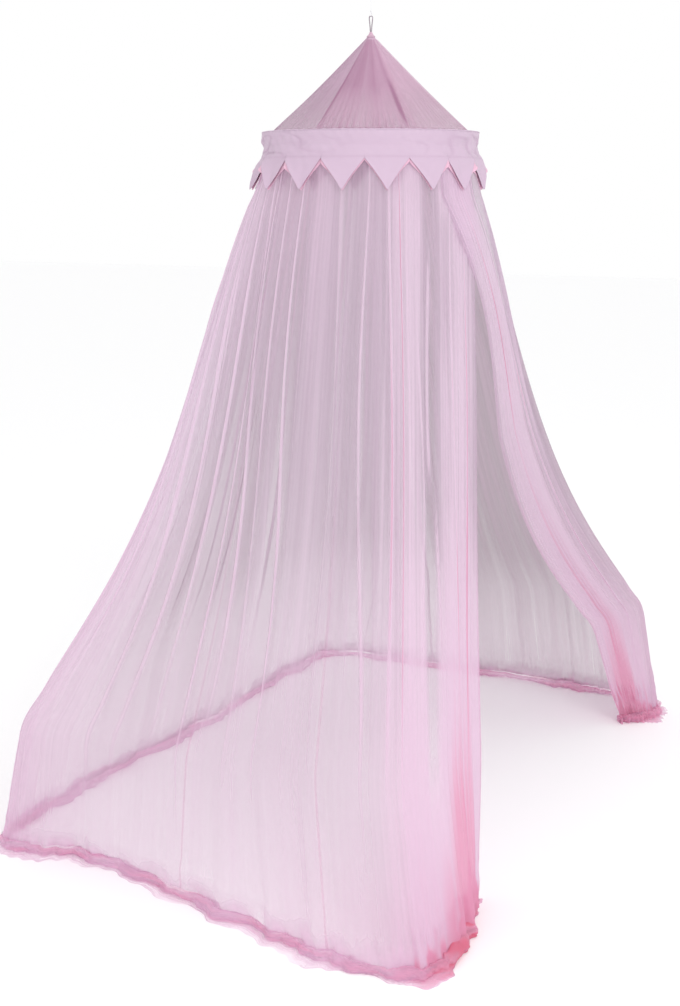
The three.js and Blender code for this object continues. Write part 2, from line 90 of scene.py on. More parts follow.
class Body(str, Enum):
    """The moving bodies that a piece can ride on."""

    HOOK = "hook"
    STRING = "string"
    STRING_END = "string_end"
    CROWN = "crown"
    FRONT_LEAF = "front_leaf"
    RIGHT_LEAF = "right_leaf"


class Hold(str, Enum):
    """How a sheet of cloth is held."""

    HUNG = "hung"
    GATHERED = "gathered"
    STRETCHED = "stretched"


# Helpers


def smooth_at(table: Sequence[float], place: np.ndarray) -> np.ndarray:
    """Smooth values of a table at fractional places.

    Args:
        table: The numbers, one for each whole place.
        place: Where to read the table.

    Returns:
        One value for each place.
    """
    values = np.asarray(table, float)
    last = len(values) - 1
    i = np.clip(np.floor(place).astype(int), 0, last - 1)
    t = place - i
    p1, p2 = values[i], values[i + 1]
    p0 = np.where(i > 0, values[np.maximum(i - 1, 0)], 2 * p1 - p2)
    p3 = np.where(i + 2 <= last, values[np.minimum(i + 2, last)], 2 * p2 - p1)
    m1, m2 = (p2 - p0) / 2, (p3 - p1) / 2
    t2, t3 = t * t, t**3
    return (2 * t3 - 3 * t2 + 1) * p1 + (t3 - 2 * t2 + t) * m1 + (3 * t2 - 2 * t3) * p2 + (t3 - t2) * m2


def paint(red: float, green: float, blue: float) -> Colour:
    """Linear colour from screen values between 0 and 255.

    Args:
        red: Screen value of red.
        green: Screen value of green.
        blue: Screen value of blue.

    Returns:
        The three linear shares.
    """
    shares = [channel / 255.0 for channel in (red, green, blue)]
    linear = [v / 12.92 if v <= 0.04045 else ((v + 0.055) / 1.055) ** 2.4 for v in shares]
    return linear[0], linear[1], linear[2]


def ripple(x: np.ndarray, y: np.ndarray, seed: int, count: int = 6) -> np.ndarray:
    """Smooth, repeatable unevenness between about -1 and 1.

    Args:
        x: First coordinate, in periods of the slowest wave.
        y: Second coordinate, likewise.
        seed: Picks one pattern.
        count: Number of waves that are summed.

    Returns:
        The unevenness at each place.
    """
    rng = np.random.default_rng(seed)
    total = np.zeros(np.broadcast(x, y).shape)
    for k in range(count):
        fx, fy, phase = rng.uniform(0.6, 2.6), rng.uniform(-1.8, 1.8), rng.uniform(0, TAU)
        total = total + np.sin(TAU * (fx * x + fy * y) + phase) / (1 + 0.35 * k)
    return total / 2.4


def ramp(value: np.ndarray, start: float, end: float) -> np.ndarray:
    """Share of the way from one limit to another.

    Args:
        value: Where to read the share.
        start: Where it is 0.
        end: Where it is 1, above or below the start.

    Returns:
        Shares from 0 to 1.
    """
    return np.clip((value - start) / (end - start), 0, 1)


def eased(value: np.ndarray, start: float, end: float) -> np.ndarray:
    """Share of the way from one limit to another, rounded at both.

    Args:
        value: Where to read the share.
        start: Where it is 0.
        end: Where it is 1, above or below the start.

    Returns:
        Shares from 0 to 1.
    """
    share = ramp(value, start, end)
    return share**2 * (3 - 2 * share)


def bell(value: np.ndarray, middle: float, spread: float) -> np.ndarray:
    """Share that falls off on both sides of a middle.

    Args:
        value: Where to read the share.
        middle: Where it is 1.
        spread: Distance at which it is a little over a third.

    Returns:
        Shares from 0 to 1.
    """
    return np.exp(-(((value - middle) / spread) ** 2))


def flare(turn: np.ndarray, spreads: Triple) -> np.ndarray:
    """Outward spread of the valance's points or the net's throat.

    Args:
        turn: Directions, in radians.
        spreads: Spread all round, and what the photo's left and right sides add.

    Returns:
        The spread in each direction.
    """
    everywhere, left, right = spreads
    to_left = np.clip(np.cos(turn - math.radians(TO_LEFT)), 0, 1)
    to_right = np.clip(np.cos(turn - math.radians(TO_RIGHT)), 0, 1)
    return everywhere + left * to_left**2 + right * to_right**2


def around(radius: np.ndarray, turn: np.ndarray, z: np.ndarray | float) -> np.ndarray:
    """Points by distance and direction from the upright axis.

    Args:
        radius: Distances.
        turn: Directions, in radians.
        z: Heights in the frame.

    Returns:
        The points, with x, y and z last.
    """
    return np.stack(np.broadcast_arrays(radius * np.cos(turn), radius * np.sin(turn), z), -1)


def cloth_uv(across: np.ndarray, along: np.ndarray) -> np.ndarray:
    """Cloth coordinates of a grid of points.

    Args:
        across: Metres of cloth across, one for each column.
        along: Metres of cloth along, one for each row.

    Returns:
        Columns by rows by two.
    """
    return np.stack(np.meshgrid(across, along, indexing="ij"), -1)


def deselect() -> None:
    """Leaves nothing selected, and no object in edit mode."""
    if bpy.context.object and bpy.context.object.mode != "OBJECT":
        bpy.ops.object.mode_set(mode="OBJECT")
    bpy.ops.object.select_all(action="DESELECT")


def make_active(obj: bpy.types.Object) -> None:
    """Selects one object and makes it the active one.

    Args:
        obj: The object.
    """
    deselect()
    obj.select_set(True)
    bpy.context.view_layer.objects.active = obj


def settle(obj: bpy.types.Object, name: str) -> bpy.types.Object:
    """Names a piece, puts its place and turn into its mesh and shades it smoothly.

    Args:
        obj: The piece.
        name: Its name.

    Returns:
        The same piece.
    """
    obj.name = name
    make_active(obj)
    bpy.ops.object.transform_apply(location=True, rotation=True, scale=True)
    smooth_shade(obj)
    return obj


def join(parts: Sequence[bpy.types.Object]) -> bpy.types.Object:
    """Joins objects into the first of them.

    Args:
        parts: The objects.

    Returns:
        The first object, with all the meshes.
    """
    make_active(parts[0])
    for part in parts:
        part.select_set(True)
    bpy.ops.object.join()
    return parts[0]


def torus(
    radii: Sequence[float], sides: Sequence[int], z: float, turn: Triple = (0, 0, 0)
) -> bpy.types.Object:
    """Adds a ring of round section.

    Args:
        radii: Radius of the ring's middle line and of its section.
        sides: Faces round the ring and round its section.
        z: Height of its centre in the frame.
        turn: Its rotation, in radians.

    Returns:
        The ring, not yet settled.
    """
    deselect()
    bpy.ops.mesh.primitive_torus_add(
        location=(0, 0, z),
        rotation=turn,
        major_segments=sides[0],
        minor_segments=sides[1],
        major_radius=radii[0],
        minor_radius=radii[1],
    )
    return bpy.context.object


def close_ends(obj: bpy.types.Object) -> None:
    """Fills a tube's two open ends and turns its faces out.

    Args:
        obj: The tube.
    """
    make_active(obj)
    bpy.ops.object.mode_set(mode="EDIT")
    bpy.ops.mesh.select_all(action="DESELECT")
    bpy.ops.mesh.select_mode(type="EDGE")
    bpy.ops.mesh.select_non_manifold()
    bpy.ops.mesh.edge_face_add()
    bpy.ops.mesh.select_all(action="SELECT")
    bpy.ops.mesh.normals_make_consistent(inside=False)
    bpy.ops.object.mode_set(mode="OBJECT")


def apply_modifier(obj: bpy.types.Object, kind: str, **settings: object) -> None:
    """Adds one modifier, sets it and applies it.

    Args:
        obj: The piece.
        kind: Blender's name for the kind of modifier.
        settings: Values set on the modifier.
    """
    modifier = obj.modifiers.new(kind.title(), kind)
    for name, value in settings.items():
        setattr(modifier, name, value)
    make_active(obj)
    bpy.ops.object.modifier_apply(modifier=modifier.name)


def smooth_shade(obj: bpy.types.Object) -> None:
    """Shades every face of a piece smoothly.

    Args:
        obj: The piece.
    """
    obj.data.polygons.foreach_set("use_smooth", [True] * len(obj.data.polygons))


def cloth_mesh(
    name: str, points: np.ndarray, uv: np.ndarray, wrap: bool = False, **marks: np.ndarray
) -> bpy.types.Object:
    """One sheet of cloth from a grid of points, with its faces outwards.

    Args:
        name: The piece's name.
        points: Columns by rows by three, in metres.
        uv: Columns by rows by two: metres of cloth across and along.
        wrap: Whether the last column joins the first.
        marks: Numbers stored at the points for the finish: "gather" for layers of net, and "shade" for
            painted shade and, on the valance, darkening along its sewing.

    Returns:
        The new object, at the origin.
    """
    count, rows = points.shape[:2]
    spans = count if wrap else count - 1
    i, j = np.meshgrid(np.arange(spans), np.arange(rows - 1), indexing="ij")
    k = (i + 1) % count
    quads = np.stack([i * rows + j, i * rows + j + 1, k * rows + j + 1, k * rows + j], -1).reshape(-1, 4)
    girth = uv[-1, 0, 0] - uv[0, 0, 0] + uv[1, 0, 0] - uv[0, 0, 0]
    beyond = (i + 1 == count)[..., None] * np.array([girth, 0.0])
    corner_uv = np.stack([uv[i, j], uv[i, j + 1], uv[k, j + 1] + beyond, uv[k, j] + beyond], 2)
    corner_uv = corner_uv.reshape(-1, 4, 2)
    flat = points.reshape(-1, 3)
    a, b, c = flat[quads[:, 0]], flat[quads[:, 1]], flat[quads[:, 2]]
    outward = np.einsum("ij,ij->", np.cross(b - a, c - a)[:, :2], a[:, :2])
    if outward < 0:
        quads, corner_uv = quads[:, ::-1], corner_uv[:, ::-1]
    mesh = bpy.data.meshes.new(name)
    mesh.vertices.add(len(flat))
    mesh.vertices.foreach_set("co", flat.ravel())
    mesh.loops.add(quads.size)
    mesh.loops.foreach_set("vertex_index", np.ascontiguousarray(quads).ravel())
    mesh.polygons.add(len(quads))
    mesh.polygons.foreach_set("loop_start", np.arange(0, quads.size, 4))
    mesh.polygons.foreach_set("loop_total", np.full(len(quads), 4))
    mesh.update(calc_edges=True)
    layer = mesh.uv_layers.new(name="cloth")
    layer.data.foreach_set("uv", np.ascontiguousarray(corner_uv).ravel())
    for mark, values in marks.items():
        attribute = mesh.attributes.new(mark, "FLOAT", "POINT")
        attribute.data.foreach_set("value", values.astype(np.float32).ravel())
    mesh.validate()
    obj = bpy.data.objects.new(name, mesh)
    bpy.context.scene.collection.objects.link(obj)
    smooth_shade(obj)
    return obj


def mesh_area(obj: bpy.types.Object) -> float:
    """Area of a piece's mesh.

    Args:
        obj: The piece.

    Returns:
        The area, in square metres.
    """
    areas = np.zeros(len(obj.data.polygons))
    obj.data.polygons.foreach_get("area", areas)
    return float(areas.sum())


def dress(
    obj: bpy.types.Object,
    material: bpy.types.Material,
    body: Body | None = None,
    nodes: Sequence[str] = (),
) -> bpy.types.Object:
    """Gives a piece its finish, its body and the CAD nodes that it stands for.

    Args:
        obj: The piece.
        material: Its finish.
        body: The body that it rides on, or None where it is placed afterwards.
        nodes: CAD nodes that it replaces.

    Returns:
        The same piece.
    """
    obj.data.materials.clear()
    obj.data.materials.append(material)
    if body is not None:
        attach(obj, body.value)
    if nodes:
        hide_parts(*nodes)
    LOG.info("%s: %d faces", obj.name, len(obj.data.polygons))
    return obj


# Finishes


class NodeSheet:
    """A new material's node tree, with short ways to add and join nodes."""

    def __init__(self, name: str) -> None:
        """Starts an empty material.

        Args:
            name: The material's name.
        """
        self.material = bpy.data.materials.new(name)
        self.material.use_nodes = True
        self.tree = self.material.node_tree
        self.tree.nodes.clear()

    def fill(self, socket: bpy.types.NodeSocket, value: object) -> None:
        """Links a socket to an input, or sets the input.

        Args:
            socket: The input.
            value: A value, a colour or an output socket.
        """
        if isinstance(value, bpy.types.NodeSocket):
            self.tree.links.new(value, socket)
        else:
            socket.default_value = value

    def add(self, kind: str, **inputs: object) -> bpy.types.Node:
        """Adds a node and sets its inputs.

        Args:
            kind: The node's type, without the ShaderNode prefix.
            inputs: Values or sockets, by the input's name with underscores for spaces.

        Returns:
            The node.
        """
        node = self.tree.nodes.new("ShaderNode" + kind)
        for name, value in inputs.items():
            self.fill(node.inputs[name.replace("_", " ")], value)
        return node

    def math(self, operation: str, *values: object) -> bpy.types.NodeSocket:
        """Adds a Math node.

        Args:
            operation: Blender's name for the operation.
            values: Values or sockets, in the node's order.

        Returns:
            The result.
        """
        node = self.add("Math")
        node.operation = operation
        for socket, value in zip(node.inputs, values):
            self.fill(socket, value)
        return node.outputs[0]

    def share(self, value: bpy.types.NodeSocket, low: float, high: float) -> bpy.types.NodeSocket:
        """A value's place between two limits, rounded at both.

        Args:
            value: The value.
            low: Where the share is 0.
            high: Where it is 1.

        Returns:
            The share, from 0 to 1.
        """
        node = self.add("MapRange", Value=value, From_Min=low, From_Max=high)
        node.interpolation_type = "SMOOTHSTEP"
        return node.outputs[0]

    def attribute(self, name: str) -> bpy.types.NodeSocket:
        """A number stored at the mesh's points.

        Args:
            name: The attribute's name.

        Returns:
            The number, 0 where the mesh has none.
        """
        node = self.add("Attribute")
        node.attribute_name = name
        return node.outputs["Fac"]

    def blend_colours(self, factor: object, first: object, second: object) -> bpy.types.NodeSocket:
        """Mixes two colours.

        Args:
            factor: Value or socket, 0 for the first colour.
            first: Colour or socket.
            second: Colour or socket.

        Returns:
            The mixed colour.
        """
        node = self.add("Mix")
        node.data_type = "RGBA"
        for index, value in ((0, factor), (6, first), (7, second)):
            self.fill(node.inputs[index], (*value, 1.0) if isinstance(value, tuple) else value)
        return node.outputs[2]

    def cloth_coordinates(self, across: float, along: float) -> bpy.types.NodeSocket:
        """The piece's own cloth coordinates, scaled.

        Args:
            across: Repeats in a metre across the cloth.
            along: Repeats in a metre along the cloth.

        Returns:
            The scaled vector.
        """
        uv = self.add("UVMap")
        uv.uv_map = "cloth"
        return self.add("Mapping", Vector=uv.outputs[0], Scale=(across, along, 1.0)).outputs[0]

    def noise(self, repeats: Sequence[float], detail: float, roughness: float = 0.5) -> bpy.types.NodeSocket:
        """Soft unevenness of the cloth.

        Args:
            repeats: Repeats in a metre across and along the cloth.
            detail: The noise's number of finer layers.
            roughness: How strong they are.

        Returns:
            The noise, from 0 to 1.
        """
        place = self.cloth_coordinates(*repeats)
        node = self.add("TexNoise", Vector=place, Scale=1.0, Detail=detail, Roughness=roughness)
        return node.outputs["Fac"]

    def mix(self, factor: object, first: bpy.types.Node, second: bpy.types.Node) -> bpy.types.Node:
        """Mixes two shaders.

        Args:
            factor: Value or socket, 0 for the first shader.
            first: One shader's node.
            second: The other shader's node.

        Returns:
            The mix's node.
        """
        node = self.add("MixShader", Fac=factor)
        self.tree.links.new(first.outputs[0], node.inputs[1])
        self.tree.links.new(second.outputs[0], node.inputs[2])
        return node

    def fabric(self, tint: bpy.types.NodeSocket, through: float, **surface: object) -> bpy.types.Node:
        """Cloth that lets a share of the light through.

        Args:
            tint: Its colour.
            through: The share of its light that comes from behind.
            surface: Inputs of its front's shader, by name with underscores for spaces.

        Returns:
            The shader's node.
        """
        front = self.add("BsdfPrincipled", Base_Color=tint, **surface)
        return self.mix(through, front, self.add("BsdfTranslucent", Color=tint))

    def finish(self, shader: bpy.types.Node) -> bpy.types.Material:
        """Joins a shader to the output.

        Args:
            shader: The shader's node.

        Returns:
            The material.
        """
        output = self.add("OutputMaterial")
        self.tree.links.new(shader.outputs[0], output.inputs[0])
        return self.material


@dataclass(frozen=True)
class NetFinish:
    """Sheer net: its cover and its tint follow the layers drawn together and the height above the floor; the
    tint carries painted light and shade.
    """

    name: str
    sparse: Colour
    bright: Colour
    deep: Colour
    foot: Colour
    single_cover: float = 0.24
    streaks: float = 0.35
    bright_from: float = 2.0
    bright_to: float = 5.0
    deep_from: float = 7.0
    deep_to: float = 16.0
    foot_share: float = 0.0
    shaded: Colour = (0.0, 0.0, 0.0)
    shaded_fold: Colour = (0.0, 0.0, 0.0)
    shaded_from: float = 4.0
    shaded_to: float = 13.0
    streak_scale: float = 1.0
    mesh_per_metre: float = 480.0
    most_cover: float = 0.985
    through: float = 0.45
    roughness: float = 0.8
    sheen: float = 0.12

    def drawn(self, sheet: NodeSheet) -> bpy.types.NodeSocket:
        """Layers of net at a place, with uneven streaks along the cloth.

        Args:
            sheet: The material's nodes.

        Returns:
            The layers.
        """
        wide = sheet.noise((5.0 * self.streak_scale, 0.25), 3.0)
        fine = sheet.noise((34.0 * self.streak_scale, 0.6), 2.0)
        both = sheet.math("MULTIPLY_ADD", fine, 1.7, sheet.math("MULTIPLY_ADD", wide, 3.4, -1.7))
        swing = sheet.math("MULTIPLY_ADD", both, self.streaks, 1.0 - 0.85 * self.streaks)
        return sheet.math("MULTIPLY", sheet.attribute("gather"), sheet.math("MAXIMUM", swing, 0.3))

    def cover(self, sheet: NodeSheet, drawn: bpy.types.NodeSocket) -> bpy.types.NodeSocket:
        """Share of light that the threads stop, with the fine mesh of the net.

        Args:
            sheet: The material's nodes.
            drawn: Layers of net.

        Returns:
            The share.
        """
        solid = sheet.math("SUBTRACT", 1.0, sheet.math("POWER", 1.0 - self.single_cover, drawn))
        place = sheet.cloth_coordinates(self.mesh_per_metre, self.mesh_per_metre)
        holes = sheet.add("TexVoronoi", Vector=place, Scale=1.0, Randomness=0.3)
        holes.feature = "DISTANCE_TO_EDGE"
        thread = sheet.share(holes.outputs["Distance"], 0.22, 0.08)
        woven = sheet.math("MULTIPLY", solid, sheet.math("MULTIPLY_ADD", thread, 0.45, 0.78))
        return sheet.math("MINIMUM", woven, self.most_cover)

    def tint(self, sheet: NodeSheet, drawn: bpy.types.NodeSocket) -> bpy.types.NodeSocket:
        """Colour of the threads.

        It is deeper in bunches; it also carries painted light and shade: a highlight in folds, pinker towards
        the floor with greyer shade higher up, and greyer shade on the far side.

        Args:
            sheet: The material's nodes.
            drawn: Layers of net.

        Returns:
            The colour.
        """
        # Painted highlight: folds take the fold tint, which on the main net is lighter, as if lit from the
        # front.
        folds = sheet.share(drawn, self.bright_from, self.bright_to)
        colour = sheet.blend_colours(folds, self.sparse, self.bright)
        # Painted light and shade by height: the tint turns pinker towards the floor, leaving the net higher
        # up greyer as if in shade.
        place = sheet.add("SeparateXYZ", Vector=sheet.cloth_coordinates(1.0, 1.0))
        low = sheet.math("MULTIPLY", sheet.share(place.outputs["Y"], 1.5, 0.05), self.foot_share)
        colour = sheet.blend_colours(low, colour, self.foot)
        bunches = sheet.share(drawn, self.deep_from, self.deep_to)
        colour = sheet.blend_colours(bunches, colour, self.deep)
        # Painted shade: where the shade mark is set, the threads take the shaded tints, with their own tint
        # in folds.
        far_folds = sheet.share(drawn, self.shaded_from, self.shaded_to)
        far = sheet.blend_colours(far_folds, self.shaded, self.shaded_fold)
        return sheet.blend_colours(sheet.attribute("shade"), colour, far)

    def build(self) -> bpy.types.Material:
        """Makes the material.

        Returns:
            The material.
        """
        sheet = NodeSheet(self.name)
        drawn = self.drawn(sheet)
        threads = sheet.fabric(
            self.tint(sheet, drawn),
            through=self.through,
            Roughness=self.roughness,
            Sheen_Weight=self.sheen,
            Sheen_Roughness=0.4,
            Specular_IOR_Level=0.1,
        )
        holes = sheet.add("BsdfTransparent")
        return sheet.finish(sheet.mix(self.cover(sheet, drawn), holes, threads))


@dataclass(frozen=True)
class CottonFinish:
    """Woven cotton with a fine plain weave, slight unevenness of dye, painted shade in its wrinkles and a
    soft sheen.
    """

    name: str
    colour: Colour
    shade: Colour
    weave_per_metre: float = 900.0
    roughness: float = 0.85
    relief: float = 0.0004
    through: float = 0.18
    sheen: float = 0.3

    def build(self) -> bpy.types.Material:
        """Makes the material.

        Returns:
            The material.
        """
        sheet = NodeSheet(self.name)
        threads = []
        for repeats, way in (((self.weave_per_metre, 60.0), "X"), ((60.0, self.weave_per_metre), "Y")):
            place = sheet.cloth_coordinates(*repeats)
            wave = sheet.add("TexWave", Vector=place, Scale=0.16, Distortion=1.2)
            wave.bands_direction = way
            threads.append(wave.outputs["Fac"])
        weave = sheet.math("MULTIPLY", *threads)
        cloud = sheet.noise((9.0, 9.0), 4.0, 0.6)
        slub = sheet.noise((25.0, 420.0), 2.0)
        uneven = sheet.math("MULTIPLY_ADD", cloud, 0.6, sheet.math("MULTIPLY", slub, 0.4))
        # Painted shade in the wrinkles, and darkening along the sewing, from the shade mark.
        uneven = sheet.math("MULTIPLY_ADD", sheet.attribute("shade"), 1.6, uneven)
        factor = sheet.math("MULTIPLY_ADD", weave, 0.25, sheet.math("MULTIPLY", uneven, 0.6))
        relief = sheet.math("MULTIPLY_ADD", weave, 0.5, sheet.math("MULTIPLY", slub, 0.5))
        bump = sheet.add("Bump", Height=relief, Strength=0.35, Distance=self.relief)
        cloth = sheet.fabric(
            sheet.blend_colours(factor, self.colour, self.shade),
            through=self.through,
            Roughness=sheet.math("MULTIPLY_ADD", cloud, 0.12, self.roughness - 0.06),
            Normal=bump.outputs[0],
            Sheen_Weight=self.sheen,
            Sheen_Roughness=0.45,
            Specular_IOR_Level=0.2,
        )
        return sheet.finish(cloth)


@dataclass(frozen=True)
class HardFinish:
    """Enamel, steel or string, with fine unevenness of colour, gloss and surface."""

    name: str
    colour: Colour
    shade: Colour
    roughness: float
    metallic: float = 0.0
    grain: Triple = (220.0, 220.0, 220.0)
    relief: float = 0.0001

    def build(self) -> bpy.types.Material:
        """Makes the material.

        Returns:
            The material.
        """
        sheet = NodeSheet(self.name)
        place = sheet.add("TexCoord").outputs["Object"]
        grained = sheet.add("Mapping", Vector=place, Scale=self.grain).outputs[0]
        noise = sheet.add("TexNoise", Vector=grained, Scale=1.0, Detail=4.0, Roughness=0.6)
        fine = noise.outputs["Fac"]
        broad = sheet.add("TexNoise", Vector=place, Scale=40.0, Detail=2.0).outputs["Fac"]
        factor = sheet.math("MULTIPLY_ADD", fine, 0.6, sheet.math("MULTIPLY", broad, 0.4))
        bump = sheet.add("Bump", Height=fine, Strength=0.3, Distance=self.relief)
        surface = sheet.add(
            "BsdfPrincipled",
            Base_Color=sheet.blend_colours(factor, self.colour, self.shade),
            Roughness=sheet.math("MULTIPLY_ADD", broad, 0.16, self.roughness - 0.08),
            Normal=bump.outputs[0],
            Metallic=self.metallic,
        )
        return sheet.finish(surface)


NET = NetFinish(
    name="pink_net",
    sparse=paint(213, 193, 211),
    # bright: painted highlight on the folds.
    bright=paint(234, 213, 230),
    deep=paint(230, 162, 191),
    # foot: pinker tint towards the floor; the upper net stays greyer, as painted shade.
    foot=paint(226, 186, 213),
    deep_from=9.5,
    deep_to=22.0,
    foot_share=0.6,
    # shaded and shaded_fold: painted shade of the far side.
    shaded=paint(150, 133, 143),
    shaded_fold=paint(194, 170, 187),
)
HEM = NetFinish(
    name="gathered_hem_net",
    sparse=paint(231, 194, 219),
    bright=paint(237, 182, 208),
    deep=paint(238, 142, 168),
    foot=paint(237, 182, 208),
    single_cover=0.26,
    streaks=0.6,
    bright_from=1.5,
    bright_to=3.5,
    deep_from=4.5,
    deep_to=10.0,
    streak_scale=3.0,
)
SEAM = NetFinish(
    name="doubled_seam_net",
    sparse=paint(208, 186, 204),
    bright=paint(228, 200, 220),
    deep=paint(222, 160, 194),
    # foot: pinker tint towards the floor, the same painted light and shade by height as the net.
    foot=paint(238, 176, 208),
    foot_share=0.8,
    streaks=0.2,
)
CONE = NetFinish(
    name="crown_cone_net",
    sparse=paint(201, 172, 191),
    bright=paint(220, 192, 211),
    deep=paint(204, 166, 190),
    foot=paint(198, 170, 189),
    # shaded and shaded_fold: painted shade on one side of the cone.
    shaded=paint(172, 140, 162),
    shaded_fold=paint(186, 154, 176),
    bright_from=3.0,
    bright_to=6.0,
    deep_from=8.0,
    deep_to=14.0,
)
LAP = NetFinish(
    name="crown_overlap_net",
    sparse=paint(226, 198, 214),
    bright=paint(230, 202, 218),
    deep=paint(206, 164, 188),
    foot=paint(206, 170, 193),
    bright_from=3.0,
    bright_to=6.0,
    deep_from=9.0,
    deep_to=15.0,
    # shaded and shaded_fold: painted shade on the lap's inner part, darkest in its puckers.
    shaded=paint(217, 183, 204),
    shaded_fold=paint(180, 133, 162),
    shaded_from=2.8,
    shaded_to=6.5,
)
# The cottons' shade colours serve the dye's unevenness, the painted shade in the valance's wrinkles and the
# darkening along its sewing.
COTTON = CottonFinish("pale_pink_cotton", paint(218, 196, 215), paint(205, 179, 201))
LINING = CottonFinish("deep_pink_lining", paint(242, 202, 222), paint(236, 188, 212))
STITCH = CottonFinish("dark_pink_stitching", paint(176, 120, 150), paint(156, 100, 132))
TAPE = CottonFinish("grey_pink_tape", paint(178, 164, 174), paint(150, 138, 150), 1200.0)
STRING = HardFinish(
    "white_string", paint(238, 238, 240), paint(214, 214, 218), 0.55, 0.0, (900.0, 900.0, 300.0), 0.0002
)
ENAMEL = HardFinish("white_enamel", paint(238, 238, 238), paint(228, 228, 230), 0.32)
STEEL = HardFinish("hoop_steel", paint(196, 198, 202), paint(172, 174, 178), 0.34, 1.0, (60.0, 60.0, 900.0))
SLEEVE = HardFinish(
    "sleeve_metal", paint(162, 164, 168), paint(142, 144, 148), 0.42, 1.0, (500.0, 500.0, 80.0)
)


@dataclass
class Finishes:
    """Every material of the canopy, made once."""

    net: bpy.types.Material = field(default_factory=NET.build)
    hem: bpy.types.Material = field(default_factory=HEM.build)
    seam: bpy.types.Material = field(default_factory=SEAM.build)
    cone: bpy.types.Material = field(default_factory=CONE.build)
    overlap: bpy.types.Material = field(default_factory=LAP.build)
    cotton: bpy.types.Material = field(default_factory=COTTON.build)
    lining: bpy.types.Material = field(default_factory=LINING.build)
    stitch: bpy.types.Material = field(default_factory=STITCH.build)
    tape: bpy.types.Material = field(default_factory=TAPE.build)
    string: bpy.types.Material = field(default_factory=STRING.build)
    enamel: bpy.types.Material = field(default_factory=ENAMEL.build)
    steel: bpy.types.Material = field(default_factory=STEEL.build)
    sleeve: bpy.types.Material = field(default_factory=SLEEVE.build)


# String and loop


